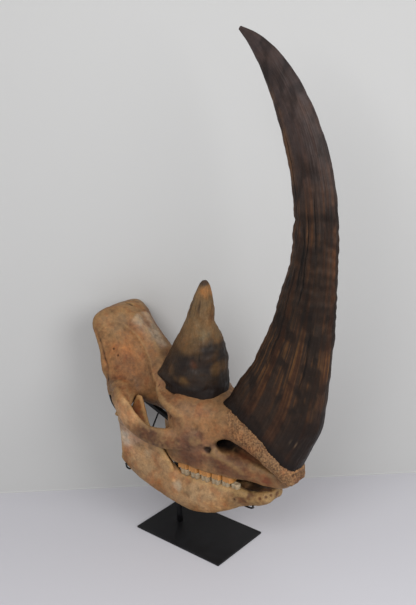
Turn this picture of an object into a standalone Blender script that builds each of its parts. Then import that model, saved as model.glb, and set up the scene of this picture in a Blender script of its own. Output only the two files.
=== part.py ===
# Woolly rhinoceros skull with both horns, on a steel museum stand.
# Metres. +X is towards the nose, +Y the animal's left, +Z up. The origin is the middle of the
# stand's underside, and the animal's mid plane is Y = 0.
import bmesh
import bpy
import numpy as np
from mathutils import Vector

# Driving dimensions of the stand.
PLATE_LENGTH = 0.320
PLATE_WIDTH = 0.202
PLATE_THICK = 0.006
POST_SIDE = 0.013
POST_X = -0.075
BAR_SIDE = 0.013
BAR_REAR = (-0.232, 0.394)  # x and z of the inclined bar's ends, on its centre line
BAR_FRONT = (-0.052, 0.328)
ROD_RADIUS = 0.0026
GAP = 0.0004  # clearance where one piece seats against another
HORN_SEAT = 0.001  # clearance between a horn and the bone under it
JAW_CLEARANCE = 0.005

# Driving dimensions of the teeth: each row's front end, its height and its place across.
BITE_Z = 0.2475
UPPER_ROOT_Z = 0.284
LOWER_ROOT_Z = 0.212
UPPER_FRONT_X = 0.182
LOWER_FRONT_X = 0.2015
# Each tooth's name, length and width, from the front backwards.
UPPER_TEETH = (
    ("p3", 0.034, 0.036),
    ("p4", 0.0325, 0.040),
    ("m1", 0.042, 0.043),
    ("m2", 0.034, 0.044),
    ("m3", 0.039, 0.038),
)
LOWER_TEETH = (
    ("p2", 0.029, 0.018),
    ("p3", 0.028, 0.021),
    ("p4", 0.034, 0.024),
    ("m1", 0.033, 0.026),
    ("m2", 0.036, 0.026),
    ("m3", 0.034, 0.024),
)
UPPER_ROW_Y = (-0.044, -0.060)  # the middle of the row across, at its front and rear ends
LOWER_ROW_Y = (-0.044, -0.063)
TOOTH_SPACE = 0.0012

# Mesh sizes: the voxel that joins the bone's forms, and each piece's share of the triangles.
BONE_VOXEL = 0.005
CRANIUM_FACES = 2700
MANDIBLE_FACES = 1200

# The cranium's upper form, from the occiput to the nose. Each station runs from a top point to a
# bottom point, and gives the half width at five shares of the way down.
# (x top, z top, x bottom, z bottom, ((half width, share), ...))
VAULT = (
    (-0.305, 0.652, -0.236, 0.405, ((0.07, 0.01), (0.099, 0.1), (0.094, 0.4), (0.104, 0.68), (0.05, 0.97))),
    (-0.286, 0.67, -0.222, 0.399, ((0.072, 0.02), (0.098, 0.12), (0.098, 0.4), (0.11, 0.7), (0.055, 0.97))),
    (-0.24, 0.674, -0.195, 0.4, ((0.05, 0.01), (0.076, 0.15), (0.091, 0.42), (0.106, 0.72), (0.052, 0.98))),
    (-0.192, 0.652, -0.162, 0.397, ((0.028, 0.00), (0.054, 0.18), (0.085, 0.48), (0.098, 0.75), (0.045, 0.98))),
    (-0.145, 0.608, -0.13, 0.392, ((0.022, 0.00), (0.052, 0.2), (0.08, 0.5), (0.086, 0.74), (0.038, 0.98))),
    (-0.1, 0.566, -0.095, 0.386, ((0.03, 0.01), (0.058, 0.22), (0.074, 0.5), (0.066, 0.76), (0.032, 0.98))),
    (-0.055, 0.532, -0.055, 0.376, ((0.056, 0.06), (0.084, 0.28), (0.074, 0.52), (0.056, 0.78), (0.03, 0.98))),
    (-0.01, 0.514, -0.01, 0.362, ((0.08, 0.12), (0.112, 0.36), (0.092, 0.55), (0.064, 0.78), (0.032, 0.97))),
    (0.035, 0.503, 0.035, 0.35, ((0.084, 0.14), (0.117, 0.38), (0.106, 0.58), (0.08, 0.82), (0.036, 0.98))),
    (0.08, 0.486, 0.08, 0.34, ((0.07, 0.1), (0.1, 0.36), (0.1, 0.62), (0.086, 0.86), (0.04, 1.00))),
    (0.125, 0.47, 0.125, 0.338, ((0.056, 0.08), (0.078, 0.34), (0.083, 0.6), (0.078, 0.86), (0.04, 1.00))),
    (0.165, 0.466, 0.165, 0.374, ((0.054, 0.1), (0.074, 0.4), (0.076, 0.66), (0.066, 0.92), (0.035, 1.00))),
    (0.215, 0.455, 0.215, 0.364, ((0.054, 0.12), (0.073, 0.42), (0.073, 0.68), (0.058, 0.92), (0.03, 1.00))),
    (0.265, 0.432, 0.265, 0.343, ((0.053, 0.12), (0.071, 0.42), (0.069, 0.7), (0.052, 0.92), (0.028, 1.00))),
    (0.31, 0.384, 0.31, 0.31, ((0.048, 0.1), (0.062, 0.38), (0.059, 0.68), (0.042, 0.92), (0.024, 1.00))),
    (0.345, 0.348, 0.34, 0.28, ((0.034, 0.05), (0.048, 0.32), (0.046, 0.62), (0.032, 0.9), (0.018, 1.00))),
    (0.368, 0.336, 0.358, 0.286, ((0.018, 0.06), (0.028, 0.32), (0.028, 0.62), (0.018, 0.9), (0.01, 1.00))),
)

# The upper jaw below it, from behind the last molar to the tip of the premaxilla.
FACE = (
    (-0.06, 0.372, -0.056, 0.312, ((0.03, 0.02), (0.056, 0.25), (0.074, 0.55), (0.077, 0.85), (0.06, 1.00))),
    (-0.036, 0.379, -0.033, 0.286, ((0.038, 0.02), (0.066, 0.25), (0.084, 0.52), (0.089, 0.82), (0.078, 1.00))),
    (-0.01, 0.387, -0.006, 0.265, ((0.048, 0.02), (0.08, 0.25), (0.094, 0.48), (0.091, 0.8), (0.08, 1.00))),
    (0.025, 0.395, 0.025, 0.267, ((0.06, 0.02), (0.096, 0.25), (0.104, 0.48), (0.089, 0.78), (0.078, 1.00))),
    (0.07, 0.4, 0.07, 0.263, ((0.06, 0.02), (0.094, 0.22), (0.098, 0.48), (0.085, 0.78), (0.074, 1.00))),
    (0.115, 0.395, 0.115, 0.264, ((0.056, 0.02), (0.082, 0.25), (0.087, 0.5), (0.078, 0.78), (0.069, 1.00))),
    (0.155, 0.352, 0.155, 0.265, ((0.05, 0.02), (0.072, 0.22), (0.078, 0.5), (0.071, 0.8), (0.063, 1.00))),
    (0.195, 0.334, 0.195, 0.266, ((0.04, 0.02), (0.062, 0.22), (0.068, 0.5), (0.064, 0.8), (0.055, 1.00))),
    (0.235, 0.33, 0.235, 0.264, ((0.03, 0.02), (0.05, 0.22), (0.054, 0.5), (0.05, 0.8), (0.038, 1.00))),
    (0.275, 0.322, 0.275, 0.257, ((0.024, 0.02), (0.04, 0.22), (0.043, 0.5), (0.038, 0.8), (0.024, 1.00))),
    (0.312, 0.312, 0.312, 0.258, ((0.018, 0.02), (0.03, 0.24), (0.033, 0.5), (0.028, 0.8), (0.016, 1.00))),
    (0.338, 0.3, 0.338, 0.27, ((0.01, 0.02), (0.018, 0.24), (0.02, 0.5), (0.018, 0.8), (0.01, 1.00))),
)

# Rods of bone with an oval section, right side mirrored: (x, y, z, half thickness, half height).
CHEEK_ARCH = (
    (-0.180, 0.122, 0.444, 0.022, 0.036),
    (-0.148, 0.144, 0.430, 0.016, 0.038),
    (-0.118, 0.154, 0.417, 0.013, 0.040),
    (-0.092, 0.156, 0.396, 0.011, 0.035),
    (-0.045, 0.152, 0.373, 0.012, 0.029),
    (0.005, 0.134, 0.364, 0.016, 0.031),
    (0.038, 0.104, 0.362, 0.020, 0.036),
    (0.068, 0.072, 0.358, 0.022, 0.034),
    (0.095, 0.044, 0.354, 0.016, 0.026),
)
ARCH_ROOT = (
    (-0.172, 0.060, 0.464, 0.046, 0.034),
    (-0.166, 0.098, 0.449, 0.040, 0.032),
    (-0.152, 0.130, 0.437, 0.032, 0.034),
    (-0.142, 0.148, 0.427, 0.020, 0.032),
)
SQUAMA = (
    (-0.246, 0.080, 0.452, 0.022, 0.026),
    (-0.216, 0.090, 0.455, 0.024, 0.029),
    (-0.186, 0.102, 0.457, 0.027, 0.030),
    (-0.156, 0.114, 0.453, 0.026, 0.028),
)
BROW_EDGE = (
    (-0.060, 0.074, 0.480, 0.014, 0.016),
    (-0.020, 0.100, 0.464, 0.014, 0.016),
    (0.025, 0.113, 0.448, 0.012, 0.016),
    (0.055, 0.104, 0.430, 0.012, 0.018),
    (0.060, 0.098, 0.400, 0.012, 0.020),
)
PTERYGOID = (
    (-0.060, 0.034, 0.378, 0.010, 0.020),
    (-0.038, 0.040, 0.348, 0.007, 0.022),
    (-0.022, 0.046, 0.318, 0.006, 0.020),
    (-0.005, 0.052, 0.300, 0.008, 0.014),
)
# The hollow of the palate between the tooth rows.
PALATE = (
    (-0.090, 0.000, 0.326, 0.034, 0.034),
    (-0.045, 0.000, 0.304, 0.036, 0.044),
    (0.010, 0.000, 0.276, 0.036, 0.032),
    (0.070, 0.000, 0.268, 0.034, 0.028),
    (0.130, 0.000, 0.265, 0.030, 0.024),
    (0.180, 0.000, 0.262, 0.024, 0.018),
    (0.212, 0.000, 0.260, 0.016, 0.010),
)
# The nose opening's pocket beside the septum.
NOSTRIL = (
    (0.110, 0.033, 0.368, 0.022, 0.022),
    (0.148, 0.040, 0.360, 0.026, 0.021),
    (0.178, 0.057, 0.355, 0.045, 0.020),
    (0.208, 0.061, 0.349, 0.048, 0.019),
    (0.245, 0.062, 0.340, 0.046, 0.015),
    (0.280, 0.060, 0.329, 0.044, 0.011),
    (0.306, 0.056, 0.319, 0.040, 0.009),
    (0.320, 0.052, 0.313, 0.034, 0.006),
)
# Processes that hang down behind the jaw joint: (x, y, z, radius along x, radius across).
POSTGLENOID = (
    (-0.194, 0.090, 0.440, 0.014, 0.022),
    (-0.196, 0.086, 0.405, 0.010, 0.014),
    (-0.197, 0.084, 0.386, 0.006, 0.008),
)
PAROCCIPITAL = (
    (-0.236, 0.086, 0.450, 0.018, 0.024),
    (-0.244, 0.082, 0.410, 0.012, 0.018),
    (-0.240, 0.076, 0.378, 0.006, 0.009),
)
TEAR_BONE = (
    (0.004, 0.092, 0.458, 0.018, 0.026),
    (0.014, 0.093, 0.432, 0.019, 0.025),
    (0.024, 0.093, 0.405, 0.020, 0.024),
    (0.024, 0.092, 0.376, 0.021, 0.027),
)
CHEEK_FILL = ((0.036, 0.087, 0.396), (0.048, 0.034, 0.054))
CHEEK_FRONT = ((0.074, 0.078, 0.372), (0.038, 0.033, 0.040))
CONDYLE_PLACE = (-0.268, 0.042, 0.444)
CONDYLE_RADII = (0.032, 0.026, 0.036)

# The lower jaw's side: (x, y, z, half thickness, half height), from the angle to the front tip.
JAW_BODY = (
    (-0.200, 0.100, 0.292, 0.008, 0.044),
    (-0.182, 0.098, 0.290, 0.013, 0.066),
    (-0.145, 0.094, 0.268, 0.016, 0.076),
    (-0.105, 0.088, 0.243, 0.019, 0.078),
    (-0.060, 0.079, 0.207, 0.023, 0.062),
    (-0.010, 0.071, 0.180, 0.026, 0.051),
    (0.040, 0.064, 0.173, 0.027, 0.054),
    (0.090, 0.056, 0.178, 0.026, 0.052),
    (0.140, 0.049, 0.192, 0.024, 0.044),
    (0.185, 0.042, 0.205, 0.021, 0.033),
    (0.222, 0.033, 0.208, 0.018, 0.023),
    (0.256, 0.026, 0.215, 0.016, 0.020),
    (0.277, 0.022, 0.224, 0.014, 0.018),
    (0.290, 0.016, 0.231, 0.009, 0.012),
)
JAW_SOCKETS = (
    (-0.030, 0.068, 0.214, 0.017, 0.017),
    (0.040, 0.062, 0.213, 0.018, 0.017),
    (0.110, 0.056, 0.216, 0.017, 0.017),
    (0.170, 0.049, 0.220, 0.016, 0.016),
    (0.206, 0.044, 0.220, 0.014, 0.015),
    (0.224, 0.041, 0.218, 0.010, 0.012),
)
JAW_CHIN = (
    (0.140, 0.200, 0.020, 0.016),
    (0.180, 0.204, 0.034, 0.021),
    (0.220, 0.208, 0.038, 0.019),
    (0.255, 0.216, 0.034, 0.018),
    (0.278, 0.224, 0.029, 0.018),
    (0.291, 0.232, 0.019, 0.012),
)
# Upright plates of the lower jaw: (x rear, x front, y, z, half thickness).
JAW_RAMUS = (
    (-0.176, -0.014, 0.083, 0.215, 0.016),
    (-0.202, -0.008, 0.088, 0.255, 0.013),
    (-0.206, -0.034, 0.096, 0.300, 0.011),
    (-0.206, -0.060, 0.103, 0.345, 0.010),
    (-0.200, -0.074, 0.105, 0.375, 0.009),
)
JAW_CORONOID = (
    (-0.160, -0.072, 0.104, 0.350, 0.009),
    (-0.150, -0.082, 0.105, 0.395, 0.008),
    (-0.134, -0.092, 0.105, 0.430, 0.007),
    (-0.118, -0.099, 0.105, 0.455, 0.006),
)
JAW_NECK = (
    (-0.204, -0.140, 0.105, 0.350, 0.011),
    (-0.196, -0.150, 0.108, 0.376, 0.014),
    (-0.190, -0.158, 0.110, 0.388, 0.018),
)
JAW_CONDYLE = ((-0.174, 0.074, 0.388), (-0.174, 0.142, 0.389), 0.0115)

# The horns: (x, z, half width fore and aft, half thickness, tilt of the section in degrees).
FRONT_HORN = (
    (0.2305, 0.384, 0.139, 0.057, 30.0),
    (0.264, 0.430, 0.132, 0.056, 26.0),
    (0.305, 0.500, 0.129, 0.053, 20.0),
    (0.342, 0.600, 0.107, 0.046, 13.0),
    (0.370, 0.700, 0.089, 0.039, 9.0),
    (0.390, 0.800, 0.076, 0.034, 5.0),
    (0.406, 0.900, 0.062, 0.030, 1.0),
    (0.409, 0.990, 0.058, 0.027, -5.0),
    (0.400, 1.080, 0.056, 0.025, -11.0),
    (0.377, 1.170, 0.053, 0.022, -19.0),
    (0.340, 1.260, 0.045, 0.019, -28.0),
    (0.291, 1.340, 0.033, 0.014, -38.0),
    (0.240, 1.396, 0.018, 0.008, -46.0),
    (0.198, 1.426, 0.005, 0.003, -52.0),
)
REAR_HORN = (
    (0.008, 0.462, 0.096, 0.078, 4.0),
    (0.007, 0.490, 0.099, 0.082, 3.0),
    (0.010, 0.520, 0.097, 0.081, 2.0),
    (0.021, 0.556, 0.089, 0.075, 0.0),
    (0.030, 0.603, 0.075, 0.063, -2.0),
    (0.037, 0.648, 0.055, 0.046, -4.0),
    (0.042, 0.692, 0.040, 0.035, -5.0),
    (0.049, 0.736, 0.0290, 0.026, -7.0),
    (0.055, 0.766, 0.0205, 0.0185, -8.0),
    (0.058, 0.784, 0.0135, 0.012, -8.0),
    (0.0595, 0.793, 0.006, 0.0055, -8.0),
)


def start_scene(name):
    for old in list(bpy.data.objects):
        bpy.data.objects.remove(old)
    made = []
    for label, hidden in ((name, False), (name + " cutters", True)):
        collection = bpy.data.collections.new(label)
        bpy.context.scene.collection.children.link(collection)
        collection.hide_render = hidden
        made.append(collection)
    return made


def material(name, color, roughness, metallic=0.0):
    made = bpy.data.materials.new(name)
    made.use_nodes = True
    shader = made.node_tree.nodes["Principled BSDF"]
    shader.inputs["Base Color"].default_value = (*color, 1.0)
    shader.inputs["Roughness"].default_value = roughness
    shader.inputs["Metallic"].default_value = metallic
    return made


def spline(points, per_span, closed=False):
    # A Catmull-Rom curve through the rows of points, with per_span samples in each span.
    points = np.asarray(points, float)
    if closed:
        padded = np.concatenate([points[-1:], points, points[:2]])
    else:
        first = 2 * points[:1] - points[1:2]
        last = 2 * points[-1:] - points[-2:-1]
        padded = np.concatenate([first, points, last])
    before, start, end, after = padded[:-3], padded[1:-2], padded[2:-1], padded[3:]
    share = np.linspace(0, 1, per_span, endpoint=False)
    share = share.reshape((-1,) + (1,) * points.ndim)
    rows = 0.5 * (
        2 * start
        + (end - before) * share
        + (2 * before - 5 * start + 4 * end - after) * share**2
        + (3 * start - 3 * end + after - before) * share**3
    )
    rows = np.moveaxis(rows, 0, 1).reshape((-1,) + points.shape[1:])
    return rows if closed else np.concatenate([rows, points[-1:]])


def smooth_grid(rings, along, around):
    # Rings of points become a finer grid, smooth along the form and round it.
    rings = spline(rings, along)
    return np.swapaxes(spline(np.swapaxes(rings, 0, 1), around, closed=True), 0, 1)


def stations_grid(stations, along=3, around=2):
    # A form that is the same on both sides: half rings from top to bottom, mirrored across Y.
    rings = []
    for x_top, z_top, x_bottom, z_bottom, widths in stations:
        half = [(0.0, 0.0), *widths, (0.0, 1.0)]
        ring = [(y, share) for y, share in half]
        ring += [(-y, share) for y, share in reversed(half[1:-1])]
        rings.append(
            [
                (x_top + (x_bottom - x_top) * share, y, z_top + (z_bottom - z_top) * share)
                for y, share in ring
            ]
        )
    return smooth_grid(rings, along, around)


def sweep_grid(rows, sides=12, along=3, upright=True):
    # An oval section carried along a path, its height as near upright as the path allows.
    rows = spline(rows, along)
    path = rows[:, :3]
    tangent = np.gradient(path, axis=0)
    tangent /= np.linalg.norm(tangent, axis=1)[:, None]
    across = np.cross(tangent, (0.0, 0.0, 1.0) if upright else (1.0, 0.0, 0.0))
    across /= np.linalg.norm(across, axis=1)[:, None]
    tall = np.cross(across, tangent)
    turn = np.linspace(0, 2 * np.pi, sides, endpoint=False)
    return (
        path[:, None]
        + rows[:, 3, None, None] * np.cos(turn)[None, :, None] * across[:, None]
        + rows[:, 4, None, None] * np.sin(turn)[None, :, None] * tall[:, None]
    )


def plate_grid(rows, sides=16, along=3):
    # An upright plate: flattened ovals stacked in Z, each from its rear x to its front x.
    rows = spline(rows, along)
    turn = np.linspace(0, 2 * np.pi, sides, endpoint=False)
    cosine, sine = np.cos(turn), np.sin(turn)
    rear, front, y, z, thick = (rows[:, k, None] for k in range(5))
    flat = np.sign(cosine) * np.abs(cosine) ** 0.8
    return np.stack(
        [
            (rear + front) / 2 + (front - rear) / 2 * flat,
            y + thick * np.sign(sine) * np.abs(sine) ** 0.7,
            z + 0 * cosine,
        ],
        axis=-1,
    )


def ball_grid(centre, radii, rings=8, sides=12):
    # An ellipsoid from pole to pole along Z.
    down = np.linspace(0.12, np.pi - 0.12, rings)[:, None]
    turn = np.linspace(0, 2 * np.pi, sides, endpoint=False)[None]
    unit = np.stack(
        [np.sin(down) * np.cos(turn), np.sin(down) * np.sin(turn), np.cos(down) + 0 * turn],
        axis=-1,
    )
    return np.asarray(centre) + unit * np.asarray(radii)


def mirrored(grid):
    return [grid, grid * (1, -1, 1)]


def mesh_of_grids(name, grids, dishes=()):
    # Each grid is closed round its rings and capped with a fan at both ends.
    verts, faces = [], []
    for number, grid in enumerate(grids):
        rings, sides = grid.shape[:2]
        base = len(verts)
        verts.extend(grid.reshape(-1, 3).tolist())
        for i in range(rings - 1):
            for j in range(sides):
                a = base + i * sides + j
                b = base + i * sides + (j + 1) % sides
                faces.append((a, b, b + sides, a + sides))
        for i, step in ((0, 1), (rings - 1, -1)):
            centre = grid[i].mean(axis=0)
            if (number, i) in dishes:
                centre = centre + np.asarray(dishes[(number, i)])
            verts.append(centre.tolist())
            for j in range(sides):
                a = base + i * sides + j
                b = base + i * sides + (j + 1) % sides
                faces.append((len(verts) - 1, b, a)[::step])
    mesh = bpy.data.meshes.new(name)
    mesh.from_pydata(verts, [], faces)
    work = bmesh.new()
    work.from_mesh(mesh)
    bmesh.ops.recalc_face_normals(work, faces=work.faces)
    work.to_mesh(mesh)
    work.free()
    return mesh


def new_object(name, mesh, collection, finish=None):
    made = bpy.data.objects.new(name, mesh)
    collection.objects.link(made)
    if finish:
        mesh.materials.append(finish)
    if collection.hide_render:
        made.hide_render = True
        made.display_type = "WIRE"
    return made


def cut(target, cutter, operation="DIFFERENCE"):
    step = target.modifiers.new(operation.title(), "BOOLEAN")
    step.operation = operation
    step.object = cutter
    step.solver = "EXACT"
    return step


def fuse_bone(target, faces, cutters):
    # Joins the overlapping forms into one skin, carves it, rounds it and thins its triangles.
    join = target.modifiers.new("Join forms", "REMESH")
    join.mode = "VOXEL"
    join.voxel_size = BONE_VOXEL
    for cutter in cutters:
        cut(target, cutter)
    again = target.modifiers.new("Even skin", "REMESH")
    again.mode = "VOXEL"
    again.voxel_size = BONE_VOXEL
    soften = target.modifiers.new("Soften", "SMOOTH")
    soften.factor = 0.5
    soften.iterations = 5
    graph = bpy.context.evaluated_depsgraph_get()
    dense = target.evaluated_get(graph).to_mesh()
    triangles = 2 * len(dense.polygons)
    target.evaluated_get(graph).to_mesh_clear()
    thin = target.modifiers.new("Thin", "DECIMATE")
    thin.ratio = faces / triangles
    thin.use_symmetry = True
    thin.symmetry_axis = "Y"
    return target


def bake(target):
    # Replaces the object's mesh by its evaluated one.
    graph = bpy.context.evaluated_depsgraph_get()
    mesh = bpy.data.meshes.new_from_object(target.evaluated_get(graph))
    target.modifiers.clear()
    target.data = mesh
    return target


def keep_largest(target):
    # Drops loose crumbs that a cut may leave: only the body with the most faces stays.
    work = bmesh.new()
    work.from_mesh(target.data)
    work.faces.ensure_lookup_table()
    seen, bodies = set(), []
    for face in work.faces:
        if face.index in seen:
            continue
        body, queue = [], [face]
        seen.add(face.index)
        while queue:
            current = queue.pop()
            body.append(current)
            for edge in current.edges:
                for near in edge.link_faces:
                    if near.index not in seen:
                        seen.add(near.index)
                        queue.append(near)
        bodies.append(body)
    bodies.sort(key=len)
    loose = [face for body in bodies[:-1] for face in body]
    bmesh.ops.delete(work, geom=loose, context="FACES")
    alone = [vert for vert in work.verts if not vert.link_faces]
    bmesh.ops.delete(work, geom=alone, context="VERTS")
    bmesh.ops.remove_doubles(work, verts=work.verts, dist=0.00002)
    bmesh.ops.dissolve_degenerate(work, edges=work.edges, dist=0.00002)
    bmesh.ops.recalc_face_normals(work, faces=work.faces)
    work.to_mesh(target.data)
    work.free()
    return target


def grown_copy(source, collection, distance):
    # A copy of the piece pushed outwards, to cut the seat it needs in its neighbour.
    made = new_object(source.name + " seat", source.data.copy(), collection)
    work = bmesh.new()
    work.from_mesh(made.data)
    work.normal_update()
    for vert in work.verts:
        vert.co += vert.normal * distance * vert.calc_shell_factor()
    work.to_mesh(made.data)
    work.free()
    return made


def box_mesh(name, size, centre=(0, 0, 0), bevel=0.0):
    mesh = bpy.data.meshes.new(name)
    work = bmesh.new()
    bmesh.ops.create_cube(work, size=1.0)
    for vert in work.verts:
        vert.co = Vector(centre) + Vector(c * s for c, s in zip(vert.co, size))
    if bevel:
        bmesh.ops.bevel(work, geom=work.edges, offset=bevel, segments=1, affect="EDGES")
    work.to_mesh(mesh)
    work.free()
    return mesh


def horn_grid(stations, sides, along, rim):
    # Oval sections along the horn's bent axis; the section's front is blunter than its rear.
    rows = spline(stations, along)
    turn = np.linspace(0, 2 * np.pi, sides, endpoint=False)
    x, z, half, thick, tilt = (rows[:, k, None] for k in range(5))
    tilt = np.radians(tilt)
    ahead = np.cos(turn)[None]
    side = np.sin(turn)[None]
    side = np.sign(side) * np.abs(side) ** 0.9
    wave = 1 + rim * np.cos(5 * turn + 0.7)[None] * np.exp(-np.arange(len(rows)) / 3)[:, None]
    return np.stack(
        [
            x + half * wave * ahead * np.cos(tilt),
            thick * wave * side,
            z + half * wave * ahead * -np.sin(tilt),
        ],
        axis=-1,
    )


def tooth_mesh(name, x_rear, length, y, width, z_root, z_crown, upper, lobes):
    # A high-crowned cheek tooth: upper ones have two ribs on the cheek side, lower ones two lobes.
    samples = 5
    t = np.linspace(0, 1, samples)
    x_cheek = x_rear + length * t
    if upper:
        cheek = width / 2 * (1.0 - 0.10 * np.cos(2 * np.pi * lobes * t))
        tongue = width / 2 * (0.86 + 0.08 * np.cos(2 * np.pi * lobes * t))
    else:
        cheek = width / 2 * (0.82 + 0.2 * np.abs(np.sin(np.pi * lobes * t)))
        tongue = width / 2 * (0.84 + 0.12 * np.abs(np.sin(np.pi * lobes * t)))
    ring = np.concatenate(
        [
            np.stack([x_cheek, y - cheek], axis=-1),
            np.stack([x_cheek, y + tongue], axis=-1)[::-1],
        ]
    )
    middle = np.array([x_rear + length / 2, y])
    levels = ((0.0, 0.88), (0.88, 1.0), (1.0, 0.93))
    rings = []
    for share, size in levels:
        flat = middle + (ring - middle) * size
        z = np.full((len(flat), 1), z_root + (z_crown - z_root) * share)
        rings.append(np.concatenate([flat, z], axis=1))
    worn = (0, 0, 0.0015 if upper else -0.0015)
    return mesh_of_grids(name, [np.array(rings)], dishes={(0, len(levels) - 1): worn})


def build_row(prefix, teeth, front_x, row_y, z_root, z_crown, upper, collection, enamel):
    # One tooth row from the front backwards on the right, and its mirror image on the left.
    made = []
    total = sum(length + TOOTH_SPACE for label, length, width in teeth)
    x = front_x
    for label, length, width in teeth:
        x -= length
        share = (front_x - x - length / 2) / total
        y = row_y[0] + (row_y[1] - row_y[0]) * share**0.8
        for side, sign in (("right", 1), ("left", -1)):
            name = f"{prefix}_{label}_{side}"
            mesh = tooth_mesh(name, x, length, y, width, z_root, z_crown, upper, 2)
            made.append(new_object(name, flipped(mesh, sign), collection, enamel))
        x -= TOOTH_SPACE
    return made


def build_teeth(collection, enamel):
    uppers = build_row(
        "upper", UPPER_TEETH, UPPER_FRONT_X, UPPER_ROW_Y, UPPER_ROOT_Z, BITE_Z + GAP, True,
        collection, enamel[0],
    )
    lowers = build_row(
        "lower", LOWER_TEETH, LOWER_FRONT_X, LOWER_ROW_Y, LOWER_ROOT_Z, BITE_Z - GAP, False,
        collection, enamel[1],
    )
    return uppers, lowers


def flipped(mesh, sign):
    # Mirrors a right-side mesh to the left where the sign is negative.
    if sign < 0:
        for vert in mesh.vertices:
            vert.co.y = -vert.co.y
        mesh.flip_normals()
    return mesh


def build_cranium(parts, cutters, bone, mandible):
    septum = (
        (0.12, 0.4, 0.12, 0.33, ((0.02, 0.05), (0.024, 0.5), (0.022, 0.75), (0.02, 0.9), (0.012, 1.0))),
        (0.2, 0.392, 0.2, 0.316, ((0.02, 0.05), (0.016, 0.5), (0.016, 0.75), (0.02, 0.9), (0.012, 1.0))),
        (0.27, 0.368, 0.27, 0.3, ((0.022, 0.05), (0.015, 0.5), (0.015, 0.75), (0.02, 0.9), (0.012, 1.0))),
        (0.336, 0.33, 0.336, 0.276, ((0.024, 0.05), (0.02, 0.5), (0.018, 0.75), (0.016, 0.9), (0.01, 1.0))),
    )
    grids = [stations_grid(VAULT), stations_grid(FACE), stations_grid(septum)]
    for rows in (CHEEK_ARCH, SQUAMA, ARCH_ROOT, BROW_EDGE, PTERYGOID):
        right = np.array(rows) * (1, -1, 1, 1, 1)
        grids += mirrored(sweep_grid(right))
    for rows in (POSTGLENOID, PAROCCIPITAL, TEAR_BONE):
        right = np.array(rows) * (1, -1, 1, 1, 1)
        grids += mirrored(sweep_grid(right, upright=False))
    for centre, radii in ((CONDYLE_PLACE, CONDYLE_RADII), CHEEK_FILL, CHEEK_FRONT):
        grids += mirrored(ball_grid(centre, radii))
    cranium = new_object("cranium", mesh_of_grids("cranium", grids), parts, bone)
    carve = [ball_grid((-0.290, 0.0, 0.478), (0.060, 0.023, 0.021))]
    carve.append(sweep_grid(PALATE))
    nostril = np.array(NOSTRIL) * (1, -1, 1, 1, 1)
    carve += mirrored(sweep_grid(nostril, sides=14))
    carve += mirrored(ball_grid((0.120, -0.098, 0.343), (0.014, 0.028, 0.011)))
    carver = new_object("cranium openings", mesh_of_grids("cranium openings", carve), cutters)
    joint = grown_copy(mandible, cutters, JAW_CLEARANCE)
    return bake(fuse_bone(cranium, CRANIUM_FACES, [carver, joint]))


def build_mandible(parts, bone):
    grids = []
    body = np.array(JAW_BODY) * (1, -1, 1, 1, 1)
    grids += mirrored(sweep_grid(body, sides=14))
    grids += mirrored(sweep_grid(np.array(JAW_SOCKETS) * (1, -1, 1, 1, 1)))
    for rows in (JAW_RAMUS, JAW_CORONOID, JAW_NECK):
        right = np.array(rows) * (1, 1, -1, 1, 1)
        grids += mirrored(plate_grid(right))
    start, end, radius = JAW_CONDYLE
    share = np.linspace(0, 1, 5)[:, None]
    middle = np.array(start) + (np.array(end) - np.array(start)) * share
    swell = radius * (1 - 0.5 * (2 * share - 1) ** 4)
    rod = np.concatenate([middle * (1, -1, 1), swell * 1.15, swell], axis=1)
    grids += mirrored(sweep_grid(rod, sides=10, along=1))
    rows = []
    for x, z, half_width, half_height in JAW_CHIN:
        turn = np.linspace(0, 2 * np.pi, 14, endpoint=False)
        rows.append(
            np.stack(
                [x + 0 * turn, half_width * np.cos(turn), z + half_height * np.sin(turn)], axis=-1
            )
        )
    grids.append(smooth_grid(np.array(rows), 3, 1))
    mandible = new_object("mandible", mesh_of_grids("mandible", grids), parts, bone)
    return bake(fuse_bone(mandible, MANDIBLE_FACES, []))


def build_horns(parts, cutters, horn, cranium):
    made = []
    for name, stations, along in (("front_horn", FRONT_HORN, 2), ("rear_horn", REAR_HORN, 2)):
        grid = horn_grid(stations, 16, along, 0.03)
        piece = new_object(name, mesh_of_grids(name, [grid]), parts, horn)
        seat = grown_copy(cranium, cutters, HORN_SEAT)
        cut(piece, seat)
        made.append(keep_largest(bake(piece)))
    return made


def build_stand(parts, cutters, steel, bones):
    plate = box_mesh(
        "base_plate",
        (PLATE_LENGTH, PLATE_WIDTH, PLATE_THICK),
        (0, 0, PLATE_THICK / 2),
        bevel=0.0006,
    )
    made = [new_object("base_plate", plate, parts, steel)]
    rear, front = Vector((BAR_REAR[0], 0, BAR_REAR[1])), Vector((BAR_FRONT[0], 0, BAR_FRONT[1]))
    along = front - rear
    slope = along.z / along.x
    top = rear.z + slope * (POST_X - rear.x) - BAR_SIDE * 0.2
    bottom = PLATE_THICK + GAP
    post = box_mesh("post", (POST_SIDE, POST_SIDE, top - bottom), (POST_X, 0, (top + bottom) / 2))
    bar = box_mesh("bar", (along.length, BAR_SIDE, BAR_SIDE))
    turn = Vector((1, 0, 0)).rotation_difference(along.normalized()).to_matrix()
    for vert in bar.vertices:
        vert.co = turn @ vert.co + (rear + front) / 2
    frame = new_object("stand_frame", post, parts, steel)
    weld_pieces(frame, bar, parts)
    for rows in stand_rods():
        weld_pieces(frame, mesh_of_grids("rod", [sweep_grid(rows, sides=8, along=2)]), parts)
    for bone in bones:
        cut(frame, grown_copy(bone, cutters, GAP))
        bake(frame)
    made.append(keep_largest(frame))
    return made


def weld_pieces(target, mesh, collection):
    # Unites one more solid with the target, as a weld would.
    other = new_object("weld", mesh, collection)
    cut(target, other, "UNION")
    bake(target)
    bpy.data.objects.remove(other)


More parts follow.
